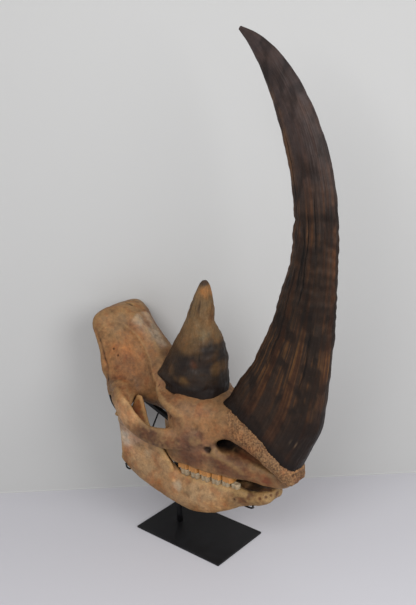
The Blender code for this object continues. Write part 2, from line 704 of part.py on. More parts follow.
def stand_rods():
    # Bent rods that end in small hooks: under the angles and the chin of the jaw, and behind the
    # roots of the cheek arches.
    arms = [
        (
            (-0.196, 0.000, 0.216),
            (-0.190, -0.050, 0.200),
            (-0.176, -0.092, 0.194),
            (-0.177, -0.108, 0.202),
            (-0.178, -0.1125, 0.218),
        ),
        (
            (-0.075, 0.000, 0.176),
            (0.080, -0.010, 0.164),
            (0.205, -0.026, 0.172),
            (0.234, -0.034, 0.182),
            (0.241, -0.042, 0.194),
        ),
        (
            (-0.205, 0.000, 0.382),
            (-0.214, -0.050, 0.354),
            (-0.210, -0.094, 0.350),
            (-0.202, -0.106, 0.374),
            (-0.210, -0.119, 0.408),
            (-0.212, -0.125, 0.434),
        ),
    ]
    prop = (
        (-0.140, 0.000, 0.354),
        (-0.166, 0.000, 0.302),
        (-0.190, 0.000, 0.246),
        (-0.197, 0.000, 0.214),
    )
    rods = [np.array([(*point, ROD_RADIUS, ROD_RADIUS) for point in prop])]
    for path in arms:
        rows = np.array([(*point, ROD_RADIUS, ROD_RADIUS) for point in path])
        rods += [rows, rows * (1, -1, 1, 1, 1)]
    return rods


def build():
    parts, cutters = start_scene("Woolly rhinoceros skull")
    skull_bone = material("Skull bone", (0.26, 0.13, 0.055), 0.62)
    jaw_bone = material("Jaw bone", (0.34, 0.20, 0.09), 0.6)
    horn = material("Horn", (0.055, 0.035, 0.022), 0.55)
    upper_enamel = material("Upper tooth enamel", (0.42, 0.22, 0.09), 0.35)
    lower_enamel = material("Lower tooth enamel", (0.62, 0.52, 0.38), 0.35)
    steel = material("Black steel", (0.015, 0.015, 0.017), 0.45)
    mandible = build_mandible(parts, jaw_bone)
    cranium = build_cranium(parts, cutters, skull_bone, mandible)
    build_horns(parts, cutters, horn, cranium)
    uppers, lowers = build_teeth(parts, (upper_enamel, lower_enamel))
    for jaw, teeth in ((cranium, uppers), (mandible, lowers)):
        for tooth in teeth:
            cut(jaw, grown_copy(tooth, cutters, GAP))
        keep_largest(bake(jaw))
    build_stand(parts, cutters, steel, (cranium, mandible))


build()
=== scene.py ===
import math

import bmesh
import bpy
import numpy as np
from mathutils import Matrix, Vector


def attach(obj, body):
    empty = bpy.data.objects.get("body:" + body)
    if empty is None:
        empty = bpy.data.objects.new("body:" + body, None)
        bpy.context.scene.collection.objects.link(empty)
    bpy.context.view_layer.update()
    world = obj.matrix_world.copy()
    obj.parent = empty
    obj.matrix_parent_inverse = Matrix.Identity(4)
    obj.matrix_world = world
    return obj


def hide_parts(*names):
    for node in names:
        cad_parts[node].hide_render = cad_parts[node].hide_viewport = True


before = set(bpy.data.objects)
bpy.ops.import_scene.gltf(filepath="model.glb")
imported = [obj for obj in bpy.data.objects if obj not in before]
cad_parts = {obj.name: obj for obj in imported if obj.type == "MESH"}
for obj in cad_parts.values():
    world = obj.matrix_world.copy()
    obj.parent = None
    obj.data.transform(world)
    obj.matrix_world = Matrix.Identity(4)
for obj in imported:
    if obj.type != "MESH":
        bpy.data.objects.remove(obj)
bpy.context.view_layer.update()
bpy.context.scene.view_settings.view_transform = "Standard"

# Camera, floor, wall and light
photoView = {
    "eye": (1.3945, -1.5386, 1.3605),
    "heading": 40.73,  # degrees from +Y towards -X
    "pitch": 17.18,
    "roll": -2.04,
    "lens": 47.0,
    "sensor": 36.0,
}
studio = {
    "wallFoot": ((-0.377, 0.034), (0.361, 0.707)),  # two points of the line where wall meets floor
    "footRadius": 0.004,
    "wallHeight": 3.2,
    "floorDepth": 5.0,
    "halfWidth": 3.5,
    "wallColour": "bcbcbb",
    "floorColour": "c6c5ca",
    "skyColour": "e9e9ea",
    "skyStrength": 0.62,
}
lights = {
    "keyLight": {"place": (1.0, -2.2, 2.1), "target": (0.0, 0.0, 0.6), "size": 1.4, "power": 35},
    "fillLight": {"place": (2.6, -0.4, 1.7), "target": (0.1, 0.0, 0.6), "size": 1.8, "power": 43},
}


def linear(hexText, strength=1.0):
    # A screen colour such as "8c613f" as linear light.
    screen = np.array([int(hexText[k:k + 2], 16) for k in (0, 2, 4)]) / 255
    light = np.where(screen <= 0.04045, screen / 12.92, ((screen + 0.055) / 1.055) ** 2.4)
    return light * strength


def rgba(hexText, strength=1.0):
    return (*linear(hexText, strength), 1.0)


def placeCamera(look):
    heading, pitch, roll = (math.radians(look[key]) for key in ("heading", "pitch", "roll"))
    ahead = Vector((
        -math.sin(heading) * math.cos(pitch), math.cos(heading) * math.cos(pitch), -math.sin(pitch),
    ))
    level = Vector((math.cos(heading), math.sin(heading), 0))
    above = level.cross(ahead)
    data = bpy.data.cameras.new("photoCamera")
    data.sensor_width = look["sensor"]
    data.lens = look["lens"]
    camera = bpy.data.objects.new("photoCamera", data)
    bpy.context.scene.collection.objects.link(camera)
    camera.location = look["eye"]
    camera.rotation_mode = "QUATERNION"
    up = math.cos(roll) * above - math.sin(roll) * level
    right = math.cos(roll) * level + math.sin(roll) * above
    camera.rotation_quaternion = Matrix((right, up, -ahead)).transposed().to_quaternion()
    bpy.context.scene.camera = camera


def put(tree, kind, inputs=None, **settings):
    # One shader node; an input is either a plain value or another node's output.
    node = tree.nodes.new(kind)
    for key, value in settings.items():
        setattr(node, key, value)
    for key, value in (inputs or {}).items():
        if isinstance(value, bpy.types.NodeSocket):
            tree.links.new(value, node.inputs[key])
        else:
            node.inputs[key].default_value = value
    return node


def blank(name):
    # A material with only its output left.
    made = bpy.data.materials.new(name)
    made.use_nodes = True
    made.node_tree.nodes.clear()
    return made, made.node_tree


def paperMaterial(name, colour):
    # Matt from the front and clear from behind, so that the wall hides nothing in a view from there.
    paint, tree = blank(name)
    plain = put(tree, "ShaderNodeBsdfDiffuse", {"Color": rgba(colour)})
    clear = put(tree, "ShaderNodeBsdfTransparent")
    back = put(tree, "ShaderNodeNewGeometry")
    mix = put(tree, "ShaderNodeMixShader", {
        0: back.outputs["Backfacing"], 1: plain.outputs[0], 2: clear.outputs[0],
    })
    put(tree, "ShaderNodeOutputMaterial", {"Surface": mix.outputs[0]})
    return paint


def buildStudio(look):
    # The floor and the wall are one sheet: floor, a quarter circle, then wall, carried sideways.
    start, end = (Vector((*point, 0)) for point in look["wallFoot"])
    along = (end - start).normalized()
    away = Vector((-along.y, along.x, 0))
    middle = (start + end) / 2
    radius = look["footRadius"]
    bend = np.radians(np.linspace(-90, 0, 9))
    depth = np.concatenate([[-look["floorDepth"]], radius * (np.cos(bend) - 1), [0.0]])
    height = np.concatenate([[0.0], radius * (1 + np.sin(bend)), [look["wallHeight"]]])
    side = np.array([-look["halfWidth"], look["halfWidth"]])
    points = (
        np.array(middle)
        + side[:, None, None] * np.array(along)
        + depth[None, :, None] * np.array(away)
        + height[None, :, None] * np.array((0, 0, 1))
    )
    count = len(depth)
    faces = [(k, k + count, k + count + 1, k + 1) for k in range(count - 1)]
    mesh = bpy.data.meshes.new("studioSheet")
    mesh.from_pydata(points.reshape(-1, 3).tolist(), [], faces)
    mesh.shade_smooth()
    sheet = bpy.data.objects.new("studioSheet", mesh)
    bpy.context.scene.collection.objects.link(sheet)
    mesh.materials.append(paperMaterial("floor paper", look["floorColour"]))
    mesh.materials.append(paperMaterial("wall paper", look["wallColour"]))
    mesh.polygons.foreach_set("material_index", (np.arange(len(faces)) > 0).astype(np.int32))
    world = bpy.data.worlds.new("studioSky")
    world.use_nodes = True
    sky = world.node_tree.nodes["Background"]
    sky.inputs["Color"].default_value = rgba(look["skyColour"])
    sky.inputs["Strength"].default_value = look["skyStrength"]
    bpy.context.scene.world = world


def placeLight(name, look):
    data = bpy.data.lights.new(name, "AREA")
    data.shape = "DISK"
    data.size = look["size"]
    data.energy = look["power"]
    lamp = bpy.data.objects.new(name, data)
    bpy.context.scene.collection.objects.link(lamp)
    lamp.location = look["place"]
    aim = Vector(look["target"]) - Vector(look["place"])
    lamp.rotation_mode = "QUATERNION"
    lamp.rotation_quaternion = aim.to_track_quat("-Z", "Y")


placeCamera(photoView)
buildStudio(studio)
for name, look in lights.items():
    placeLight(name, look)
print("camera, wall and light are placed")

# Noise, curves and surfaces
noiseSlopes = np.random.default_rng(11).normal(size=(4096, 3))
noiseSlopes /= np.linalg.norm(noiseSlopes, axis=1)[:, None]
noisePrimes = (73856093, 19349663, 83492791)
seedStep = 17.31  # cells between one seed's noise and the next


def grain(points, size, seed=0):
    # Gradient noise from about -1 to 1: random slopes on a cubic lattice of that size, blended
    # between the eight corners round each point with a quintic ease.
    cell = points / size + seed * seedStep
    base = np.floor(cell).astype(np.int64)
    part = cell - base
    ease = part**3 * (part * (part * 6 - 15) + 10)
    total = np.zeros(len(points))
    for corner in np.ndindex(2, 2, 2):
        step = np.array(corner)
        key = np.bitwise_xor.reduce((base + step) * noisePrimes, axis=1) % len(noiseSlopes)
        weight = np.prod(np.where(step, ease, 1 - ease), axis=1)
        total += weight * np.einsum("ij,ij->i", noiseSlopes[key], part - step)
    return total * 1.7


def layered(points, size, layers, seed=0):
    # Several grains added, each half the size and half the strength of the one before.
    return sum(grain(points, size / 2**k, seed + k) / 2**k for k in range(layers))


def mm(*rows):
    # Rows of millimetres, or of thousandths, as an array of metres, or of shares.
    return np.array(rows) / 1000


def bell(distance, width):
    return np.exp(-((distance / width) ** 2))


def ramp(value, low, high):
    # 0 below low, 1 above high, eased between.
    share = np.clip((value - low) / (high - low), 0, 1)
    return share * share * (3 - 2 * share)


def spline(points, perSpan, closed=False):
    # A Catmull-Rom curve through the rows of points, with perSpan samples in each span.
    points = np.asarray(points, float)
    if closed:
        padded = np.concatenate([points[-1:], points, points[:2]])
    else:
        before, after = 2 * points[:1] - points[1:2], 2 * points[-1:] - points[-2:-1]
        padded = np.concatenate([before, points, after])
    before, start, end, after = padded[:-3], padded[1:-2], padded[2:-1], padded[3:]
    share = np.linspace(0, 1, perSpan, endpoint=False)
    share = share.reshape((-1,) + (1,) * points.ndim)
    rows = 0.5 * (
        2 * start
        + (end - before) * share
        + (2 * before - 5 * start + 4 * end - after) * share**2
        + (3 * start - 3 * end + after - before) * share**3
    )
    rows = np.moveaxis(rows, 0, 1).reshape((-1,) + points.shape[1:])
    return rows if closed else np.concatenate([rows, points[-1:]])


def folded(points, y):
    # The left side's points laid over the right side, for a feature whose y is on the right side.
    seen = points.copy()
    if y < 0:
        seen[:, 1] = -np.abs(seen[:, 1])
    return seen


def lineDistance(points, line, perSpan=6):
    # Each point's distance to a smooth curve through the line's points, and how far along it lies
    # from 0 to 1. A line on the right side counts on the left side too.
    curve = spline(line, perSpan) if len(line) > 2 else np.asarray(line, float)
    seen = folded(points, line[0][1])
    best = np.full(len(seen), 9.0)
    place = np.zeros(len(seen))
    for k in range(len(curve) - 1):
        start, step = curve[k], curve[k + 1] - curve[k]
        share = np.clip((seen - start) @ step / (step @ step), 0, 1)
        away = np.linalg.norm(seen - start - share[:, None] * step, axis=1)
        closer = away < best
        best = np.where(closer, away, best)
        place = np.where(closer, (k + share) / (len(curve) - 1), place)
    return best, place


def stationSurface(stations, along=8, around=6):
    # A form that is the same on both sides. Each station runs from a top point to a bottom point
    # and gives half widths at shares of the way down; splines run along the form and round it.
    pairs = stations[:, 4:].reshape(len(stations), -1, 2)
    pole = np.zeros((len(stations), 1, 2))
    half = np.concatenate([pole, pairs, pole + (0, 1)], axis=1)
    ring = np.concatenate([half, half[:, -2:0:-1] * (-1, 1)], axis=1)
    xTop, zTop, xBottom, zBottom = (stations[:, k, None] for k in range(4))
    down = ring[..., 1]
    rings = np.stack([xTop + (xBottom - xTop) * down, ring[..., 0], zTop + (zBottom - zTop) * down], axis=-1)
    rings = spline(rings, along)
    return np.swapaxes(spline(np.swapaxes(rings, 0, 1), around, closed=True), 0, 1)


def sweptOval(rows, sides=28, along=8, upright=True):
    # An oval carried along a path: rows of x, y, z, half thickness and half height.
    rows = spline(rows, along)
    path = rows[:, :3]
    tangent = np.gradient(path, axis=0)
    tangent /= np.linalg.norm(tangent, axis=1)[:, None]
    across = np.cross(tangent, (0.0, 0.0, 1.0) if upright else (1.0, 0.0, 0.0))
    across /= np.linalg.norm(across, axis=1)[:, None]
    tall = np.cross(across, tangent)
    turn = np.linspace(0, 2 * np.pi, sides, endpoint=False)
    return (
        path[:, None]
        + rows[:, 3, None, None] * np.cos(turn)[None, :, None] * across[:, None]
        + rows[:, 4, None, None] * np.sin(turn)[None, :, None] * tall[:, None]
    )


def uprightPlate(rows, sides=36, along=8):
    # Flattened ovals stacked in Z: rows of rear x, front x, y, z and half thickness.
    rows = spline(rows, along)
    turn = np.linspace(0, 2 * np.pi, sides, endpoint=False)
    cosine, sine = np.cos(turn), np.sin(turn)
    rear, front, y, z, thick = (rows[:, k, None] for k in range(5))
    flat = np.sign(cosine) * np.abs(cosine) ** 0.8
    return np.stack([
        (rear + front) / 2 + (front - rear) / 2 * flat,
        y + thick * np.sign(sine) * np.abs(sine) ** 0.7,
        z + 0 * cosine,
    ], axis=-1)


def ballSurface(centre, radii, rings=16, sides=28):
    # An ellipsoid, from pole to pole along Z.
    down = np.linspace(0.1, np.pi - 0.1, rings)[:, None]
    turn = np.linspace(0, 2 * np.pi, sides, endpoint=False)[None]
    unit = np.stack([
        np.sin(down) * np.cos(turn), np.sin(down) * np.sin(turn), np.cos(down) + 0 * turn,
    ], axis=-1)
    return np.asarray(centre) + unit * np.asarray(radii)


def bothSides(grid):
    return [grid, grid * (1, -1, 1)]


def surfaceMesh(name, grids):
    # Each grid is closed round its rings, and a fan closes each end.
    verts, quads, fans, base = [], [], [], 0
    for grid in grids:
        rings, sides = grid.shape[:2]
        verts += [grid.reshape(-1, 3), grid[[0, -1]].mean(axis=1)]
        ring, side = np.meshgrid(np.arange(rings - 1), np.arange(sides), indexing="ij")
        a = base + ring * sides + side
        b = base + ring * sides + (side + 1) % sides
        quads.append(np.stack([a, b, b + sides, a + sides], axis=-1).reshape(-1, 4))
        pole = base + rings * sides
        first = base + np.arange(sides)
        after = base + (np.arange(sides) + 1) % sides
        last = (rings - 1) * sides
        fans.append(np.stack([pole + 0 * first, after, first], axis=-1))
        fans.append(np.stack([pole + 1 + 0 * first, first + last, after + last], axis=-1))
        base = pole + 2
    mesh = bpy.data.meshes.new(name)
    faces = np.concatenate(quads).tolist() + np.concatenate(fans).tolist()
    mesh.from_pydata(np.concatenate(verts).tolist(), [], faces)
    work = bmesh.new()
    work.from_mesh(mesh)
    bmesh.ops.recalc_face_normals(work, faces=work.faces)
    work.to_mesh(mesh)
    work.free()
    return mesh


def addPiece(name, mesh):
    piece = bpy.data.objects.new(name, mesh)
    bpy.context.scene.collection.objects.link(piece)
    return piece


def applyModifiers(piece):
    # Works the piece's modifiers into its mesh.
    graph = bpy.context.evaluated_depsgraph_get()
    mesh = bpy.data.meshes.new_from_object(piece.evaluated_get(graph))
    piece.modifiers.clear()
    piece.data = mesh


def readPoints(mesh, what="co"):
    values = np.empty(len(mesh.vertices) * 3, np.float32)
    source = mesh.vertices if what == "co" else mesh.vertex_normals
    source.foreach_get("co" if what == "co" else "vector", values)
    return values.reshape(-1, 3).astype(float)


def writePoints(mesh, points):
    mesh.vertices.foreach_set("co", points.astype(np.float32).ravel())
    mesh.update()


def writeLayer(mesh, name, values, kind="FLOAT", key="value"):
    layer = mesh.attributes.new(name, kind, "POINT")
    layer.data.foreach_set(key, values.astype(np.float32).ravel())


def writeTint(mesh, colours):
    whole = np.concatenate([colours, np.ones((len(colours), 1))], axis=1)
    writeLayer(mesh, "tint", whole, "FLOAT_COLOR", "color")


def neighbourMean(points, ends, turns):
    # The points after that many rounds of each one moving to the mean of its neighbours.
    count = np.bincount(ends.ravel(), minlength=len(points))[:, None]
    for _ in range(turns):
        both = [
            np.bincount(ends[:, 0], points[ends[:, 1], k], len(points))
            + np.bincount(ends[:, 1], points[ends[:, 0], k], len(points))
            for k in range(3)
        ]
        points = 0.5 * points + 0.5 * np.stack(both, axis=-1) / count
    return points


def meshEnds(mesh):
    ends = np.empty(len(mesh.edges) * 2, np.int32)
    mesh.edges.foreach_get("vertices", ends)
    return ends.reshape(-1, 2)


def addRemesh(piece, voxel):
    cells = piece.modifiers.new("cells", "REMESH")
    cells.mode = "VOXEL"
    cells.voxel_size = voxel


def fuse(name, grids, part, carvers=()):
    # The forms become one skin of even cells; each carver is taken out of it, then it is smoothed.
    piece = addPiece(name, surfaceMesh(name, grids))
    addRemesh(piece, part["voxel"])
    for carver in carvers:
        cut = piece.modifiers.new("carve", "BOOLEAN")
        cut.operation = "DIFFERENCE"
        cut.solver = "MANIFOLD"
        cut.object = carver
    if carvers:
        addRemesh(piece, part["voxel"])
    applyModifiers(piece)
    for carver in carvers:
        bpy.data.objects.remove(carver)
    mesh = piece.data
    writePoints(mesh, neighbourMean(readPoints(mesh), meshEnds(mesh), part["rounds"]))
    return piece


def refine(mesh, chosen):
    # Cuts the chosen cells in four. chosen says for each vertex whether it is in the area.
    work = bmesh.new()
    work.from_mesh(mesh)
    edges = [edge for edge in work.edges if chosen[edge.verts[0].index] and chosen[edge.verts[1].index]]
    bmesh.ops.subdivide_edges(work, edges=edges, cuts=1, use_grid_fill=True)
    work.to_mesh(mesh)
    work.free()


def finishPiece(piece, material, node):
    piece.data.materials.clear()
    piece.data.materials.append(material)
    piece.data.shade_smooth()
    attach(piece, "root")
    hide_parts(node)


# Shader groups
def nodeGroup(name, inputs, outputs):
    # A new group with named sockets: the group, its inputs to read and its outputs to fill.
    group = bpy.data.node_groups.new(name, "ShaderNodeTree")
    for label, kind, value in inputs:
        socket = group.interface.new_socket(name=label, in_out="INPUT", socket_type="NodeSocket" + kind)
        if value is not None:
            socket.default_value = value
    for label in outputs:
        kind = "NodeSocketColor" if label == "Color" else "NodeSocketFloat"
        group.interface.new_socket(name=label, in_out="OUTPUT", socket_type=kind)
    return group, group.nodes.new("NodeGroupInput").outputs, group.nodes.new("NodeGroupOutput").inputs


def useGroup(tree, group, inputs):
    return put(tree, "ShaderNodeGroup", inputs, node_tree=group).outputs


def noiseOf(tree, vector, scale, detail=3.0, rough=0.55, warp=0.0):
    return put(tree, "ShaderNodeTexNoise", {
        "Vector": vector, "Scale": scale, "Detail": detail, "Roughness": rough, "Distortion": warp,
    }).outputs["Fac"]


def rangeOf(tree, value, low, high, toLow=0.0, toHigh=1.0):
    return put(tree, "ShaderNodeMapRange", {
        "Value": value, "From Min": low, "From Max": high, "To Min": toLow, "To Max": toHigh,
    }, interpolation_type="SMOOTHSTEP").outputs["Result"]


def mathOf(tree, operation, first, second):
    return put(tree, "ShaderNodeMath", {0: first, 1: second}, operation=operation).outputs[0]


def times(tree, first, second):
    return mathOf(tree, "MULTIPLY", first, second)


def mixOf(tree, share, first, second, mode="MIX"):
    node = put(tree, "ShaderNodeMix", {0: share, 6: first, 7: second},
               data_type="RGBA", blend_type=mode, clamp_factor=True)
    return node.outputs[2]


def shadedBy(tree, colour, level, share=1.0):
    # The colour times a plain level, in that share.
    grey = put(tree, "ShaderNodeCombineColor", {0: level, 1: level, 2: level}).outputs[0]
    return mixOf(tree, share, colour, grey, "MULTIPLY")


def makeMottleGroup():
    # Wide blotches turn the tint warmer and greyer, fine ones lighter and darker.
    group, given, out = nodeGroup("stain mottle", (
        ("Vector", "Vector", None), ("Tint", "Color", (0.3, 0.15, 0.06, 1)),
        ("Warm", "Color", (1.15, 0.95, 0.75, 1)), ("Grey", "Color", (0.85, 0.95, 1.1, 1)),
        ("Size", "Float", 0.06), ("Strength", "Float", 0.6),
    ), ("Color",))
    vector, strength = given["Vector"], given["Strength"]
    pitch = mathOf(group, "DIVIDE", 1.0, given["Size"])
    wide = noiseOf(group, vector, pitch, 4.0, 0.6, 0.6)
    fine = noiseOf(group, vector, times(group, pitch, 5.3), 4.0, 0.65)
    warmShare = times(group, rangeOf(group, wide, 0.45, 0.7), strength)
    greyShare = times(group, rangeOf(group, wide, 0.52, 0.3), strength)
    warmed = mixOf(group, warmShare, given["Tint"], given["Warm"], "MULTIPLY")
    greyed = mixOf(group, greyShare, warmed, given["Grey"], "MULTIPLY")
    level = rangeOf(group, fine, 0.3, 0.7, 0.78, 1.2)
    group.links.new(shadedBy(group, greyed, level, strength), out["Color"])
    return group


def makePoreGroup():
    # Small dark pits, scattered where a broad noise allows them. Pits is 1 inside a pit.
    group, given, out = nodeGroup("fine pores", (
        ("Vector", "Vector", None), ("Size", "Float", 0.003), ("Amount", "Float", 0.5),
    ), ("Pits",))
    pitch = mathOf(group, "DIVIDE", 1.0, given["Size"])
    cells = put(group, "ShaderNodeTexVoronoi", {
        "Vector": given["Vector"], "Scale": pitch, "Randomness": 1.0,
    })
    where = noiseOf(group, given["Vector"], times(group, pitch, 0.09), 3.0)
    edge = times(group, given["Amount"], rangeOf(group, where, 0.42, 0.7, 0.0, 0.5))
    pits = mathOf(group, "SUBTRACT", edge, cells.outputs["Distance"])
    group.links.new(rangeOf(group, pits, 0.0, 0.12), out["Pits"])
    return group


def makeGrainGroup():
    # A height made of noise drawn out along one axis of the vector given, with a finer one on it.
    group, given, out = nodeGroup("drawn grain", (
        ("Vector", "Vector", None), ("Stretch", "Vector", (1, 1, 1)), ("Scale", "Float", 100.0),
    ), ("Height", "Streak"))
    drawn = put(group, "ShaderNodeVectorMath", {0: given["Vector"], 1: given["Stretch"]},
                operation="MULTIPLY").outputs[0]
    coarse = noiseOf(group, drawn, given["Scale"], 5.0, 0.62)
    fine = noiseOf(group, drawn, times(group, given["Scale"], 4.7), 3.0, 0.6)
    both = mathOf(group, "ADD", times(group, coarse, 0.65), times(group, fine, 0.35))
    group.links.new(both, out["Height"])
    group.links.new(rangeOf(group, both, 0.38, 0.62), out["Streak"])
    return group


mottleGroup = makeMottleGroup()
poreGroup = makePoreGroup()
grainGroup = makeGrainGroup()


def startMaterial(name):
    # A new material: itself, its node tree, the place on the object and a reader of its layers.
    made, tree = blank(name)
    place = put(tree, "ShaderNodeTexCoord").outputs["Object"]

    def layer(label, socket="Fac"):
        return put(tree, "ShaderNodeAttribute", attribute_name=label).outputs[socket]

    return made, tree, place, layer


def mottledTint(tree, place, layer, look):
    return useGroup(tree, mottleGroup, {
        "Vector": place, "Tint": layer("tint", "Color"), "Size": look["blotch"],
        "Strength": look["mottle"], "Warm": look["warm"], "Grey": look["grey"],
    })["Color"]


def endMaterial(tree, look, colour, gloss, height):
    # The bumped surface with its colour and roughness, and the material's output.
    bump = put(tree, "ShaderNodeBump", {
        "Height": height, "Strength": look["bump"], "Distance": look["bumpDepth"],
    })
    shader = put(tree, "ShaderNodeBsdfPrincipled", {
        "Base Color": colour, "Roughness": gloss, "Normal": bump.outputs["Normal"],
        "Specular IOR Level": look["shine"],
    })
    put(tree, "ShaderNodeOutputMaterial", {"Surface": shader.outputs[0]})


def boneMaterial(name, look):
    # Old bone: the painted tint, mottled, with painted shade in the hollows, a painted highlight on the
    # ridges, pores and fine grain.
    made, tree, place, layer = startMaterial(name)
    hollow = layer("hollow")
    pits = useGroup(tree, poreGroup, {
        "Vector": place, "Size": look["pore"], "Amount": look["poreAmount"],
    })["Pits"]
    grained = useGroup(tree, grainGroup, {
        "Vector": place, "Stretch": look["stretch"], "Scale": look["grainScale"],
    })
    deep = rangeOf(tree, hollow, 0.12, 0.9)
    proud = rangeOf(tree, hollow, -0.1, -0.8)
    colour = mottledTint(tree, place, layer, look)
    # Painted shade: the hollows darken towards the hollow colour. Painted highlight: the ridges lighten
    # towards the ridge colour.
    colour = mixOf(tree, times(tree, deep, look["hollowShadeShare"]), colour, look["hollow"])
    colour = mixOf(tree, times(tree, proud, look["ridgeHighlightShare"]), colour, look["ridge"])
    colour = mixOf(tree, times(tree, pits, look["poreShare"]), colour, look["poreColour"])
    colour = shadedBy(tree, colour, rangeOf(tree, grained["Streak"], 0.0, 1.0, 0.88, 1.1))
    height = mathOf(tree, "SUBTRACT", grained["Height"], times(tree, pits, look["poreDepth"]))
    coarse = noiseOf(tree, place, look["coarseScale"], 3.0, 0.6)
    rough = times(tree, layer("rugose"), look["coarseShare"])
    height = mathOf(tree, "ADD", height, times(tree, coarse, rough))
    gloss = rangeOf(tree, mathOf(tree, "ADD", deep, grained["Streak"]), 0.0, 1.6, *look["gloss"])
    endMaterial(tree, look, colour, gloss, height)
    return made


def mixTint(first, second, share):
    return first + share[:, None] * (second - first)


def tapered(place):
    # 1 along a line and 0 at its two ends, for a place that runs from 0 to 1.
    return ramp(place, 0.0, 0.12) * ramp(-place, -1.0, -0.88)


def paintPatches(points, colours, patches, seed, edge=0.35, core=0.35):
    # Soft-edged patches of colour laid one over the other, stains and some painted shade; noise frays their
    # edges. Each patch is x, y, z and radius in millimetres, colour and strength; one on the right counts on
    # the left too.
    fray = layered(points, 0.05, 3, seed)
    for x, y, z, radius, colour, strength in patches:
        (centre,) = mm((x, y, z))
        away = np.linalg.norm(folded(points, y) - centre, axis=1) / (radius / 1000)
        share = strength * (1 - ramp(away + edge * fray, core, 1.1))
        colours = mixTint(colours, linear(colour), share)
    return colours


def paintLines(points, colours, lines):
    # Soft coloured lines over the tint, each with its points, width, colour and strength.
    for line, width, colour, strength in lines:
        away, place = lineDistance(points, line)
        colours = mixTint(colours, linear(colour), strength * bell(away, width) * tapered(place))
    return colours


def applyMarks(points, marks):
    # Height changes along lines and at pits. A mark is its points, width and height; a single
    # point makes a dimple or a knob, several make a groove or a ridge.
    height = np.zeros(len(points))
    for line, width, depth in marks:
        if len(line) == 1:
            away = np.linalg.norm(folded(points, line[0][1]) - line[0], axis=1)
            height += depth * bell(away, width)
        else:
            away, place = lineDistance(points, line)
            height += depth * bell(away, width) * (0.25 + 0.75 * tapered(place))
    return height


print("shader groups are ready")

